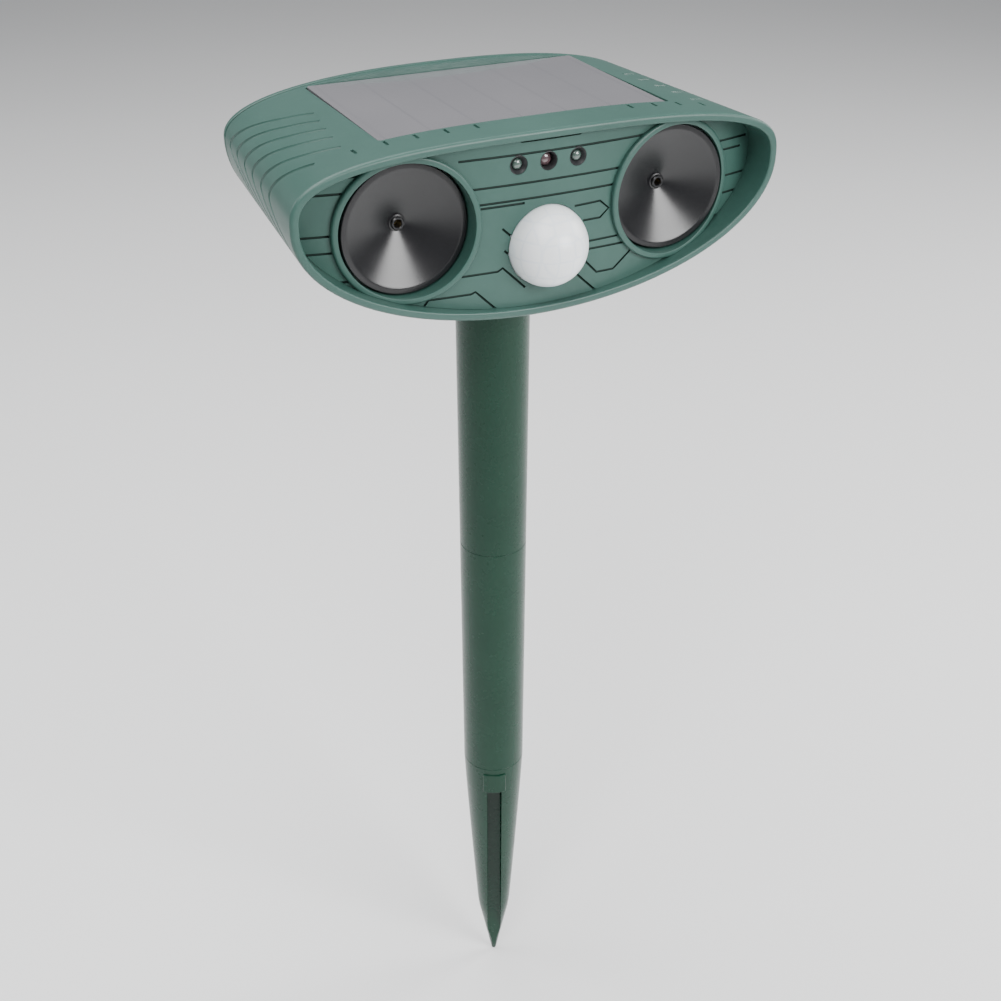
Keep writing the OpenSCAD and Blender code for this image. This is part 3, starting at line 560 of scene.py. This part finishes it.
def panel_cover():
    """The clear cover of the solar panel, hazed by sun and dust, with faint cell edges under it."""
    f = Finish("solar_cover_sheet", specular_ior_level=0.6, coat_weight=0.8, coat_roughness=0.08)
    haze = f.noise(14, 3)
    cell_room = SOLAR[0] - 2 * CELL_MARGIN - (CELL_COUNT - 1) * CELL_GAP
    edge = f.stripes(0, (cell_room / CELL_COUNT + CELL_GAP) / 2, CELL_GAP / 2)
    tint = f.blend(f.ramp(haze, 0.3, 0.7), (0.135, 0.132, 0.145), (0.165, 0.160, 0.172))
    f.link("Base Color", f.blend(edge * 0.22, tint, (0.06, 0.06, 0.075)))
    f.link("Roughness", 0.22 + 0.14 * (f.noise(45, 3) - 0.5))
    f.link("Normal", f.bump(f.noise(60, 2), 0.04, 0.2))
    return f.material


def cells():
    f = Finish("solar_cell", roughness=0.3)
    lines = f.stripes(1, 1.5, 0.12)
    dark = f.blend(f.noise(160, 3), (0.010, 0.012, 0.035), (0.026, 0.028, 0.070))
    f.link("Base Color", f.blend(lines, dark, (0.30, 0.30, 0.32)))
    return f.material


def milky():
    """Milky lens plastic with faint moulded facets, painted darker and bluer along their creases as painted shade.
    """
    f = Finish("milky_lens_plastic", specular_ior_level=0.45, subsurface_weight=0.35, subsurface_scale=0.002,
               subsurface_radius=(1.0, 1.0, 1.2), coat_weight=0.25, coat_roughness=0.2)
    facets = f.node("ShaderNodeTexVoronoi", {"feature": "DISTANCE_TO_EDGE"},
                    {"Vector": f.place, "Scale": 210.0, "Randomness": 0.15})
    facet_crease_and_shade = f.ramp(facets, 0.0, 0.09)
    # Darker, bluer colour along the facet creases: painted shade.
    f.link("Base Color", f.blend(facet_crease_and_shade, (0.80, 0.86, 0.93), (0.90, 0.94, 0.98)))
    f.link("Roughness", 0.32 + 0.08 * (f.noise(200, 2) - 0.5))
    f.link("Normal", f.bump(facet_crease_and_shade, 0.10, 0.12))
    return f.material


def metal(name, colour, dark, roughness):
    """Plated or rolled metal with a fine grain and a few dull patches."""
    f = Finish(name, metallic=1.0)
    lines = f.noise(700, 3, 0.6)
    f.link("Base Color", f.blend(f.ramp(f.noise(90, 3), 0.35, 0.6), dark, colour))
    f.link("Roughness", roughness + 0.15 * (lines - 0.5))
    f.link("Normal", f.bump(lines, 0.12, 0.05))
    return f.material


def solder_mask():
    f = Finish("green_solder_mask", coat_weight=0.5, coat_roughness=0.15)
    tracks = f.node("ShaderNodeTexBrick", {"offset": 0.37}, {
        "Vector": f.place, "Scale": 120.0, "Mortar Size": 0.06,
        "Color1": (0, 0, 0, 1), "Color2": (0, 0, 0, 1), "Mortar": (1, 1, 1, 1)})
    f.link("Base Color", f.blend(tracks, (0.012, 0.085, 0.040), (0.030, 0.160, 0.075)))
    f.link("Roughness", 0.35 + 0.1 * (f.noise(300, 2) - 0.5))
    f.link("Normal", f.bump(tracks, 0.4, 0.06))
    return f.material


def sleeve_wrap():
    f = Finish("cell_shrink_sleeve", coat_weight=0.6, coat_roughness=0.15)
    band = f.along(0) / MM > 14
    silver = f.blend(f.noise(60, 2), (0.30, 0.33, 0.36), (0.38, 0.41, 0.44))
    f.link("Base Color", f.blend(band, silver, (0.08, 0.30, 0.26)))
    f.link("Roughness", 0.3 + 0.1 * (f.noise(120, 3) - 0.5))
    return f.material


def clear_lens(name, colour, painted_reflection):
    """Clear or tinted epoxy, its colour finely mottled between a base colour and a lighter painted reflection."""
    f = Finish(name, specular_ior_level=0.7, coat_weight=1.0, coat_roughness=0.04)
    f.link("Base Color", f.blend(f.noise(900, 3), colour, painted_reflection))
    f.link("Roughness", 0.16 + 0.08 * (f.noise(500, 2) - 0.5))
    return f.material


RUBBER, FOAM, LACQUER = rubber(), foam(), lacquer()
PANEL_COVER, CELLS, MILKY = panel_cover(), cells(), milky()
STEEL = metal("plated_steel", (0.60, 0.60, 0.61), (0.42, 0.42, 0.43), 0.3)
BRASS = metal("rolled_brass", (0.66, 0.50, 0.22), (0.48, 0.34, 0.13), 0.32)
BOARD, WRAP = solder_mask(), sleeve_wrap()
# The clear lens's green-grey is painted reflection of the green housing round it, and the tinted lens's lighter pink
# is a painted highlight over its own tint.
CLEAR = clear_lens("clear_epoxy", (0.040, 0.070, 0.058), (0.075, 0.115, 0.098))
TINTED = clear_lens("tinted_epoxy", (0.045, 0.028, 0.032), (0.17, 0.10, 0.11))

# ---- Head shell ----


def lip_curve(r, angles):
    """How far back and how far in a rounded lip is, as it turns from the side to the front."""
    return [(r * (1 - math.sin(math.radians(a))), r * (1 - math.cos(math.radians(a)))) for a in angles]


OUTER_TURN = (0, 22, 45, 68, 90)


def make_head_shell():
    profile = [(SEAL_FRONT, 0.25), (SEAL_FRONT - 0.25, 0)]
    profile += [(y, 0) for y in (30, 20, 10, 0, -10, -20, -30)]
    profile += [(FRONT + back, inset) for back, inset in lip_curve(1.0, OUTER_TURN)]
    profile += [(FRONT + back, WALL - inset) for back, inset in lip_curve(0.5, (90, 60, 30, 0))]
    profile += [(y, WALL) for y in (-30, 0, 30, SEAL_FRONT)]
    shell = loft("head_shell", [head_ring(y, inset) for y, inset in profile])

    # The solar panel's pocket, let into the crown
    half = SOLAR[0] / 2 + 0.45
    block = box("pocket_block", (-half - 2, SOLAR[1] - 2.4, PANEL_TOP - 5.8),
                (half + 2, 37.5, PANEL_TOP + 4))
    skin = loft("pocket_skin", [head_ring(y, 1.0) for y in (FRONT + 2, SEAL_FRONT)], ends="flat")
    cut(block, skin, way="INTERSECT")
    cut(shell, block, way="UNION")
    pocket = box("pocket", (-half, SOLAR[1] - 0.35, PANEL_TOP - 3.8),
                 (half, SOLAR[2] + 0.35, PANEL_TOP + 9))
    round_along(pocket, 2, 1.2)
    cut(shell, pocket)

    # Grip grooves that sweep back over each end and forward again below the widest line. The sweep is
    # (height, share of the groove's reach), and each groove has (start, reach, points left out).
    sweep = [(-0.9, 0.0), (-1.7, 0.13), (-2.9, 0.28), (-4.4, 0.46), (-6.2, 0.63), (-8.8, 0.82),
             (-11.2, 0.95), (-13.4, 0.99), (-15.6, 0.82), (-18.2, 0.45), (-21.5, 0.05), (-25.5, -0.32)]
    cutters = []
    for start, reach, skip in ((11.2, 19.7, 0), (3.8, 18.3, 0), (-3.9, 16.6, 0),
                               (-11.8, 15.2, 0), (-20.6, 14.0, 0), (-28.6, 12.8, 2)):
        path = [(start + reach * share, PANEL_TOP + height) for height, share in sweep[skip:]]
        for side in (-1, 1):
            line = smooth_line([(side * (side_x(y, z) + 0.2), y, z) for y, z in path], 5)
            cutters.append(wire("facet_crease_and_shade", line, 0.8, 12))
    cut(shell, *cutters)

    # Short slots along the front edge of the crown, each sunk from where the skin is
    slots = []
    search = [z / 20 for z in range(int(20 * (PANEL_TOP + 2.2)), 0, -1)]
    for x in (-51.4, -42.7, -34.3, -25.8, -17.2, 29.2, 36.8, 44.7, 52.6):
        skin_z = next(z for z in search if side_x(-26.8, z) > abs(x))
        slots.append(box("slot", (x - 0.45, -28.6, skin_z - 0.7), (x + 0.45, -25.0, skin_z + 2), 0.3))
    cut(shell, *slots)

    # The pad that sits on the upper tube, and the spigot with its key
    lip, pad_top = 0.5, KEEL + 1.6
    foot = [(SPIGOT_R - SPIGOT_WALL, pad_top)] + spigot_section(STAKE_TOP, False)[::-1]
    foot += corner((FOOT_R - lip, STAKE_TOP + lip), lip, -90, 0) + [(FOOT_R, pad_top)]
    return join([shell, spun("head_foot", foot), make_key(STAKE_TOP, False)], "head_shell")


# ---- Front panel ----


# Fine grooves: flat runs, chevrons and ticks, as (x, depth below the solar panel)
GROOVE_RUNS = [
    [(-25.8, 4.7), (29.6, 4.7)], [(-22.6, 12.6), (22.6, 12.6)], [(-20.9, 17.0), (20.9, 17.0)],
    [(-20.4, 18.1), (-7.0, 18.1)], [(-8.6, 0.9), (-8.0, 1.4), (9.2, 1.4), (10.4, 0.8)],
    [(-30, 1.5), (-22.2, 1.5), (-21.4, 0.9)],
    [(8.2, 21.2), (16.3, 21.0), (19.2, 23.5), (16.5, 25.8), (11, 25.8)],
    [(11.8, 32.1), (22.9, 32.1), (23.3, 31.4)], [(11.5, 34.4), (26.2, 34.6)],
    [(10, 35.6), (16, 41.8), (21.6, 41.9), (27.2, 37.4)], [(9.4, 41.1), (16.1, 47.5)],
    [(-13.5, 24.4), (-10.2, 27.5)], [(-12.9, 30.7), (-10.4, 33.0)],
    [(-25.3, 36.4), (-14.8, 36.4), (-13.4, 35.6), (-6.6, 42.3)],
    [(-36.8, 44.3), (-34.8, 41.8), (-22.7, 41.8), (-21.4, 41.3), (-15.5, 47.2)],
    [(-59, 5.8), (-49, 5.8)], [(-65, 10), (-54.5, 10)], [(-69, 21), (-59, 21)],
    [(-68, 25.6), (-59, 25.6)], [(-62, 33.9), (-54, 33.9)],
    [(55.5, 11.2), (68, 11.2)], [(57.5, 14), (66, 14)], [(59, 21.9), (70, 21.9)],
    [(58.5, 27), (69, 27)], [(55, 33.3), (65, 33.3)], [(52, 36), (62, 36)],
]


def groove(run):
    """A cutter along a run of points, split finely enough to follow the panel's curve."""
    line = []
    for (x0, d0), (x1, d1) in zip(run, run[1:]):
        n = max(1, int(math.hypot(x1 - x0, d1 - d0) / 2.5))
        line += [(x0 + (x1 - x0) * i / n, d0 + (d1 - d0) * i / n) for i in range(n)]
    line.append(run[-1])
    return wire("groove", [(x, front_y(x) + 0.25, PANEL_TOP - d) for x, d in line], 0.42)


def inner_body():
    """The room inside the head's wall that the front panel fills."""
    return loft("inner_body", [head_ring(y, WALL + 0.12) for y in (FRONT - 0.5, -15)], ends="flat")


def make_collar(side):
    """A horn's collar with its sleeve: a turned ring whose front follows the panel's curve."""
    cx, cz = side * HORN_X, PANEL_TOP - HORN_DROP
    face = front_y(HORN_X) - 1.5
    ring = [(16.1, -26.5), (16.1, -28.3), (18.4, -28.3), (18.4, face + 0.35), (18.5, face + 0.1), (18.75, face)]
    ring += corner((20.19 - 0.7, face + 0.7), 0.7, -90, 0, 5) + [(20.19, face + 1.3), (20.0, -26.5)]
    ring = spun("collar", ring, (cx, 0, cz), "Y", 128)
    for v in ring.data.vertices:
        if v.co.y / MM < -29:
            v.co.y += (front_y(v.co.x / MM) - front_y(HORN_X)) * MM
    cut(ring, inner_body(), way="INTERSECT")
    nicks = [(47, 19.8), (-52, 20.2)] if side > 0 else [(-110, 20.2), (-128, 20.2)]
    cut(ring, *[drill("nick", 0.55, *polar(cx, cz, r, turn), -45, front_y(cx) + 0.2, 16) for turn, r in nicks])
    ring.data.materials.append(HOUSING)
    return ring


def make_front_panel():
    # A plate from a grid that is bent to the wide curve and given its thickness
    deselect()
    bpy.ops.mesh.primitive_grid_add(x_subdivisions=112, y_subdivisions=4, size=1,
                                    location=(0, 0, (KEEL + 26) * MM), rotation=(math.pi / 2, 0, 0))
    bpy.context.object.scale = (148 * MM, 62 * MM, 1)
    plate = named("front_fascia")
    for v in plate.data.vertices:
        v.co.y = front_y(v.co.x / MM) * MM
    apply_modifier(plate, "SOLIDIFY", thickness=2.2 * MM, offset=-1, use_even_offset=False)
    tidy_mesh(plate)
    if min(v.co.y for v in plate.data.vertices) / MM < front_y(0) - 1:
        raise RuntimeError("the front panel's thickness went forwards")
    cut(plate, inner_body(), way="INTERSECT")

    openings = [drill("bore", 19.1, side * HORN_X, PANEL_TOP - HORN_DROP, -45, -15, 128) for side in (-1, 1)]
    openings.append(drill("dome_hole", DOME_R + 0.2, 0, PANEL_TOP - DOME_DROP, -45, -20, 96))
    openings += [drill("light_hole", 2.6, x, PANEL_TOP - LIGHT_DROP, -45, -20, 48) for x in (-LIGHT_X, 0, LIGHT_X)]
    cut(plate, *openings)
    plate.data.materials.append(HOUSING)
    # The grooves' walls take the darker material: painted shade in the grooves.
    cut(plate, *[groove(run) for run in GROOVE_RUNS], lining=PAINTED_GROOVE_SHADE)
    return join([plate, make_collar(-1), make_collar(1)], "front_fascia")


# ---- Horns, dome and lights ----


def make_horn():
    """A shallow cone with a rounded lip and a small nozzle in its middle."""
    lip, mouth, face = 17.9, 16.3, -31.5
    section = [(1.1, face + 8.3), (1.1, face + 5.2), (1.3, face + 5.05), (1.62, face + 5.05),
               (1.85, face + 5.25), (1.9, face + 5.85), (2.3, face + 5.95), (5, face + 4.72),
               (9, face + 3.03), (13, face + 1.36), (mouth - 0.5, face + 0.22),
               (mouth - 0.1, face + 0.03), (mouth + 0.2, face)]
    section += corner((lip - 0.3, face + 0.3), 0.3, -90, 0, 4)
    section += [(lip, face + 2.4), (mouth, face + 2.4), (mouth - 0.6, face + 1.9),
                (3.1, face + 6.8), (3.1, face + 8.3)]
    return spun("horn", section, (-HORN_X, 0, PANEL_TOP - HORN_DROP), "Y", 128)


def make_dome():
    """A hollow half ball on a flange behind the front panel."""
    base, inner, flange = front_y(0), DOME_R - 0.9, 13.2

    def ball(r, angles):
        return [(r * math.sin(math.radians(a)), base - r * math.cos(math.radians(a))) for a in angles]

    section = ball(DOME_R, range(0, 91, 5))
    section += [(DOME_R, base + 1.1), (flange, base + 1.2), (flange, base + 2.2), (inner, base + 2.2), (inner, base)]
    section += ball(inner, range(84, -1, -6))
    return spun("lens_dome", section, (0, 0, PANEL_TOP - DOME_DROP), "Y", 96)


def make_light(name, x, r, proud):
    """A round light: a low bullet lens on a longer body with a flange."""
    tip, back = front_y(0) + proud, -26.4
    bullet = ((0.0, 0), (0.35, 0.03), (0.7, 0.16), (0.92, 0.36), (1, 0.6))
    section = [(out * r, tip + along * r) for out, along in bullet]
    section += [(r, back - 1), (r + 0.4, back - 1), (r + 0.4, back), (0.0, back)]
    return spun(name, section, (x, 0, PANEL_TOP - LIGHT_DROP), "Y", 40)


def make_light_cup(name, x, r):
    """The dark ring round a light: a funnel with a thin lip."""
    face = front_y(x)
    section = [(r, face + 1.5), (r + 0.1, face + 1.1), (2.3, face + 0.15), (2.42, face + 0.02),
               (2.56, face + 0.1), (2.56, face + 3.4), (r, face + 3.4)]
    return spun(name, section, (x, 0, PANEL_TOP - LIGHT_DROP), "Y", 48)


# ---- Stake ----


def shoulder(r, z, up):
    """The softened outer edge of a tube's end."""
    return corner((r - SEAM, z - SEAM), SEAM, 0, 90) if up else corner((r - SEAM, z + SEAM), SEAM, -90, 0)


def spigot_section(z, up):
    """The outside of a spigot from its shoulder at height z to its free end, with a lead-in."""
    way = 1 if up else -1
    return [(SPIGOT_R, z), (SPIGOT_R, z + way * (SPIGOT_LEN - 0.8)), (SPIGOT_R - 0.6, z + way * SPIGOT_LEN),
            (SPIGOT_R - SPIGOT_WALL, z + way * SPIGOT_LEN)]


def make_key(z, up):
    low, high = (z - 0.4, z + SPIGOT_LEN - 2) if up else (z - SPIGOT_LEN + 2, z + 0.4)
    return box("key", (-KEY_HALF, 5, low), (KEY_HALF, 9.6, high), 0.25)


def make_keyway(name, low, high):
    return box(name, (-KEYWAY_HALF, 0, low), (KEYWAY_HALF, KEYWAY_REACH, high))


def make_lower_tube():
    low, high = LOW_SEAM, HIGH_SEAM
    section = shoulder(STAKE_R[low], low, False) + shoulder(STAKE_R[high], high, True)
    section += [(BORE_R + 0.4, high), (BORE_R, high - 0.4), (BORE_R, low + 0.4), (BORE_R + 0.4, low)]
    tube = spun("stake_tube_lower_skin", section, steps=128)
    return cut(tube, make_keyway("top_keyway", high - SPIGOT_LEN, high + 1),
               make_keyway("foot_keyway", low - 1, low + SPIGOT_LEN))


def make_upper_tube():
    low, high, floor_z = HIGH_SEAM, STAKE_TOP, HIGH_SEAM + 3
    section = spigot_section(low, False)[::-1] + shoulder(STAKE_R[low], low, False)
    section += shoulder(STAKE_R[high], high, True)
    section += [(BORE_R + 0.4, high), (BORE_R, high - 0.4), (BORE_R, floor_z), (SPIGOT_R - SPIGOT_WALL, floor_z)]
    tube = spun("stake_tube_upper_skin", section, steps=128)
    cut(tube, make_keyway("keyway", high - SPIGOT_LEN, high + 1))
    return join([tube, make_key(low, False)], "stake_tube_upper_skin")


def spike_r(share):
    """The spike's radius between its tip's top (share 0) and its joint (share 1)."""
    return TIP_R + (STAKE_R[LOW_SEAM] - TIP_R) * (1 - (1 - share) ** 1.12)


def make_spike():
    top, slot_top, tip_foot = LOW_SEAM, LOW_SEAM - JOINT_TO_SLOT, 0.8
    section = [(0.0, 0.12), (0.35, 0.0), (0.75, 0.25), (POINT_R, tip_foot)]
    section += [(POINT_R + (TIP_R - POINT_R) * t - 0.05 * math.sin(math.pi * t), tip_foot + (TIP_TOP - tip_foot) * t)
                for t in (0.25, 0.5, 0.75, 0.93)]
    section += [(spike_r(t), TIP_TOP + (top - TIP_TOP) * t)
                for t in (0.03, 0.125, 0.25, 0.375, 0.5, 0.625, 0.75, 0.875)]
    section += shoulder(STAKE_R[top], top, True) + spigot_section(top, True)
    section += [(SPIGOT_R - SPIGOT_WALL, slot_top + 1.5), (0.0, slot_top + 1.5)]
    spike = spun("spike", section, steps=128)

    lug_r = spike_r((slot_top - TIP_TOP) / (top - TIP_TOP)) + LUG_RISE
    slots, lugs = [], []
    placings = [Matrix.Rotation(math.radians(SLOT_TURN + half), 4, "Z") for half in (0, 180)]
    for placing in placings:
        slot = box("slot", (-SLOT_HALF, -14, 4), (SLOT_HALF, -2, slot_top), 0.5, 3)
        slot.data.transform(placing)
        slots.append(slot)
    cut(spike, *slots)
    key = make_key(top, True)
    for placing in placings:
        lug = box("lug", (-LUG_HALF, -lug_r - 1, slot_top), (LUG_HALF, -8.5, slot_top + LUG_H))
        cut(lug, rod("round", lug_r, (0, 0, 60), (0, 0, 120), 160), way="INTERSECT")
        round_edges(lug, 0.4, 3, 50)
        lug.data.transform(placing)
        lugs.append(lug)
    return join([spike, key, *lugs], "spike")


# ---- Rear cover, door, knob and plug ----


def make_rear_cover():
    rim = [(COVER_FRONT, 0.2), (COVER_FRONT + 0.2, 0)]
    rim += [(REAR - back, inset) for back, inset in lip_curve(1.1, OUTER_TURN)]
    cover = loft("rear_cover_skin", [head_ring(y, inset) for y, inset in rim], ends="flat")
    half_w, half_h, gap = DOOR_W / 2, DOOR_H / 2, 0.3
    cut(cover, box("door_frame", (-half_w - 1.6, 36, DOOR_Z - half_h - 1.6),
                   (half_w + 1.6, 40, PANEL_TOP - 6.1), 0.4), way="UNION")

    opening = box("opening", (-25.6, 30, DOOR_Z - 16.8), (25.6, 45, DOOR_Z + 16.8), 0.6)
    rebate = box("rebate", (-half_w - gap, 38, DOOR_Z - half_h - gap), (half_w + gap, 45, DOOR_Z + half_h + gap))
    tab_rebate = drill("tab_rebate", 3.5, 0, TAB_Z, 38, 45, 48)
    round_along(rebate, 1, 1.5)
    cutters = [opening, rebate, tab_rebate]
    z, slot = PANEL_TOP - HANG_DROP, HANG_SLOT_HALF
    for x in (-HANG_X, HANG_X):
        cutters += [drill("hang_hole", HANG_R, x, z, 37, 45, 48),
                    drill("hang_top", slot, x, z + HANG_RISE, 37, 45, 32),
                    box("hang_slot", (x - slot, 37, z), (x + slot, 45, z + HANG_RISE))]
    port = box("port", (-SIDE_X - 7, REAR - PORT_RECESS, SIDE_Z - 4.2), (-SIDE_X + 7, 45, SIDE_Z + 4.2))
    round_along(port, 1, 1.6)
    cutters += [port, box("port_mouth", (-SIDE_X - 4.6, 30, SIDE_Z - 1.75), (-SIDE_X + 4.6, 45, SIDE_Z + 1.75), 0.2),
                drill("shaft_hole", 3.5, SIDE_X, SIDE_Z, 30, 45, 48)]

    # A shallow dial round the knob with a mark for each setting, and a ring where each screw sits
    cutters.append(spun("dial", [(8.8, REAR - 0.35), (10.6, REAR - 0.35), (10.6, REAR + 1), (8.8, REAR + 1)],
                        (SIDE_X, 0, SIDE_Z), "Y", 64))
    for turn in range(-120, 121, 60):
        cutters.append(drill("mark", 0.55, *polar(SIDE_X, SIDE_Z, 12, 90 - turn), REAR - 0.4, 45, 20))
    for x, drop in ((54, 11), (-54, 11), (46, 37), (-46, 37)):
        cutters.append(spun("screw_seat", [(2.9, REAR - 0.25), (3.3, REAR + 1), (1.3, REAR + 1), (1.3, REAR - 0.25)],
                            (x, 0, PANEL_TOP - drop), "Y", 40))
    cut(cover, *cutters)

    # A closed pocket behind each hanging hole
    pockets = []
    for x in (-HANG_X, HANG_X):
        pocket = box("pocket", (x - 5.2, COVER_FRONT - 4.8, PANEL_TOP - 19.6),
                     (x + 5.2, COVER_FRONT + 0.1, PANEL_TOP - 6.1), 0.4)
        cut(pocket, box("room", (x - 4.2, COVER_FRONT - 3.8, PANEL_TOP - 18.6),
                        (x + 4.2, COVER_FRONT + 1, PANEL_TOP - 7.1)))
        pockets.append(pocket)
    return join([cover, *pockets], "rear_cover_skin")


def make_door():
    half_w, half_h, front = DOOR_W / 2, DOOR_H / 2, REAR - DOOR_T
    door = box("battery_door_skin", (-half_w, front, DOOR_Z - half_h), (half_w, REAR, DOOR_Z + half_h))
    round_along(door, 1, 1.3)
    cut(door, drill("tab", 3.2, 0, TAB_Z, front, REAR, 48), way="UNION")
    pick(door, "FACE", lambda middle, normal: normal.y > 0.99)
    bpy.ops.mesh.region_to_loop()
    bpy.ops.mesh.bevel(offset=0.45 * MM, segments=3, affect="EDGES")
    leave()
    # Finger ridges across the upper half
    ridges = [box("ridge", (-14, REAR - 0.35, DOOR_Z + up), (14, REAR + 1, DOOR_Z + up + 0.9), 0.15)
              for up in (6.5, 8.9, 11.3)]
    return cut(door, *ridges, drill("screw_hole", 1.4, 0, TAB_Z, 30, 45, 32))


def make_knob():
    cx, cz, base = SIDE_X, SIDE_Z, REAR + 0.3
    section = [(0.0, base)] + corner((7.85, base + 0.15), 0.15, -90, 0, 2)
    section += corner((7.6, base + 1.95), 0.25, 0, 90, 3) + [(0.0, base + 2.2)]
    body = spun("knob_skin", section, (cx, 0, cz), "Y", 72)
    cut(body, *[drill("grip", 0.6, *polar(cx, cz, 8.25, 15 * i), base - 1, base + 4, 16) for i in range(24)])
    bar = box("knob_bar", (cx - 2, base + 0.5, cz - 7.4), (cx + 2, REAR + 5, cz + 7.4))
    round_along(bar, 1, 1.2)
    round_edges(bar, 0.3, 2, 50)
    cut(bar, box("pointer", (cx - 0.5, REAR + 4.5, cz + 2), (cx + 0.5, REAR + 6, cz + 8)))
    section = [(0.0, 33.9), (2.7, 33.9), (3.0, 34.3), (3.0, REAR + 1), (0.0, REAR + 1)]
    shaft = spun("knob_shaft", section, (cx, 0, cz), "Y", 48)
    return join([body, bar, shaft], "knob_skin")


def make_plug():
    cx, cz, mouth = -SIDE_X, SIDE_Z, REAR - PORT_RECESS
    cap = box("plug_skin", (cx - 6.8, mouth + 0.1, cz - 4), (cx + 6.8, REAR, cz + 4))
    round_along(cap, 1, 1.4)
    round_edges(cap, 0.25, 2, 50)
    nib = box("plug_nib", (cx - 3.95, mouth - 4, cz - 1.1), (cx + 3.95, mouth + 0.5, cz + 1.1))
    round_along(nib, 1, 0.9)
    cut(nib, box("tongue_room", (cx - 3.5, mouth - 6, cz - 0.55), (cx + 3.5, mouth - 0.3, cz + 0.55)))
    tab = box("plug_tab", (cx - 3, REAR - 0.5, cz - 0.6), (cx + 3, REAR + 2.2, cz + 0.6), 0.35, 3)
    return join([cap, nib, tab], "plug_skin")


def make_solar_cover():
    width, front, rear = SOLAR
    cover = box("solar_cover", (-width / 2, front, PANEL_TOP - 1.2), (width / 2, rear, PANEL_TOP))
    round_along(cover, 2, 0.8)
    round_edges(cover, 0.15, 2, 50)
    return cover


# ---- Putting the object together ----

finished(make_head_shell(), "head", HOUSING, ["housing_shell"])
finished(make_front_panel(), "head", HOUSING, ["front_panel"], angle=28)
finished(make_rear_cover(), "head", HOUSING, ["rear_cover"])
finished(make_door(), "door", HOUSING, ["battery_door"])
finished(make_knob(), "knob", BLACK, ["mode_knob"])
finished(make_plug(), "plug", RUBBER, ["charging_plug"])
finished(make_solar_cover(), "head", PANEL_COVER, ["solar_glass"])
horn = make_horn()
twin = copied(horn, "horn_cone_right", (2 * HORN_X, 0, 0))
horn.name = horn.data.name = "horn_cone_left"
finished(horn, "head", LACQUER, ["horn_left"], angle=32)
finished(twin, "head", LACQUER, ["horn_right"], angle=32)
finished(make_dome(), "head", MILKY, ["sensor_dome"])
for name, x, r, proud, look, slot, node in (
        ("light_left", -LIGHT_X, 1.5, 0.5, CLEAR, "light_clear", "flash_light_left"),
        ("light_right", LIGHT_X, 1.5, 0.5, CLEAR, "light_clear", "flash_light_right"),
        ("light_middle", 0, 2.0, 1.5, TINTED, "light_tinted", "indicator_light")):
    finished(make_light(name, x, r, proud), "head", look, [node])
    finished(make_light_cup(name + "_cup", x, r + 0.06), "head", BLACK)
finished(make_upper_tube(), "upper_tube", STAKE, ["stake_tube_upper"])
finished(make_lower_tube(), "lower_tube", STAKE, ["stake_tube_lower"])
finished(make_spike(), "spike", STAKE, ["ground_spike"])

LOOKS = {
    RUBBER: ["rear_seal", "door_seal"],
    FOAM: ["horn_foam_left", "horn_foam_right", "solar_foam"],
    CELLS: ["solar_cells"],
    WHITE_BOARD: ["solar_backing_board"],
    BRASS: ["piezo_driver_left", "piezo_driver_right"],
    STEEL: ["motion_sensor", "charging_socket", "battery_springs", "battery_contacts", "door_screw",
            "cover_screws", "panel_screws", "tray_screws", "board_screws"],
    BOARD: ["sensor_board", "main_board", "port_board"],
    BLACK: ["main_board_chips", "rotary_switch", "battery_tray"],
    WRAP: ["battery_cell_top", "battery_cell_middle", "battery_cell_bottom"],
}
for look, nodes in LOOKS.items():
    for node in nodes:
        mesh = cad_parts[node].data
        mesh.materials.clear()
        mesh.materials.append(look)

# ---- Floor, light and camera ----

deselect()
bpy.ops.mesh.primitive_plane_add(size=16, location=(0, 0, -0.0005))
floor = named("floor")
paper = Finish("pale_floor", specular_ior_level=0.2)
paper.link("Base Color", paper.blend(paper.noise(3, 2), (0.86, 0.86, 0.86), (0.88, 0.88, 0.88)))
paper.link("Roughness", 0.85 + 0.05 * (paper.noise(40, 2) - 0.5))
floor.data.materials.append(paper.material)

world = bpy.data.worlds.new("studio")
bpy.context.scene.world = world
world.use_nodes = True
sky = world.node_tree.nodes["Background"].inputs
sky["Color"].default_value = (0.95, 0.97, 1.0, 1)
sky["Strength"].default_value = 0.3


def soft_light(name, place, aim, size, power):
    """A rectangular lamp turned towards a point."""
    deselect()
    bpy.ops.object.light_add(type="AREA", location=[c * MM for c in place])
    lamp = bpy.context.object
    lamp.name = name
    lamp.data.shape = "RECTANGLE"
    lamp.data.size, lamp.data.size_y = size[0] * MM, size[1] * MM
    lamp.data.energy = power
    lamp.rotation_euler = (Vector(aim) - Vector(place)).to_track_quat("-Z", "Y").to_euler()


soft_light("front_right_box", (425, -860, 690), (0, -20, 320), (560, 480), 12)
soft_light("front_left_box", (-420, -560, 1150), (0, -20, 320), (500, 500), 7)
soft_light("top_box", (-150, 150, 1250), (0, 0, 250), (1100, 800), 14)
soft_light("right_box", (1150, 0, 750), (420, -100, 0), (500, 500), 8)
soft_light("left_rear_box", (-950, 650, 800), (-380, 280, 0), (600, 600), 6)

deselect()
bpy.ops.object.camera_add(location=(-0.16331, -0.34839, 0.45877))
camera = bpy.context.object
aim = Vector((-0.00616, -0.01878, 0.2324))
roll = Matrix.Rotation(math.radians(0.10), 4, "Z").to_quaternion()
camera.rotation_euler = ((aim - camera.location).to_track_quat("-Z", "Y") @ roll).to_euler()
camera.data.sensor_width = 36
camera.data.lens = 48.71
camera.data.clip_start, camera.data.clip_end = 0.01, 20
bpy.context.scene.camera = camera
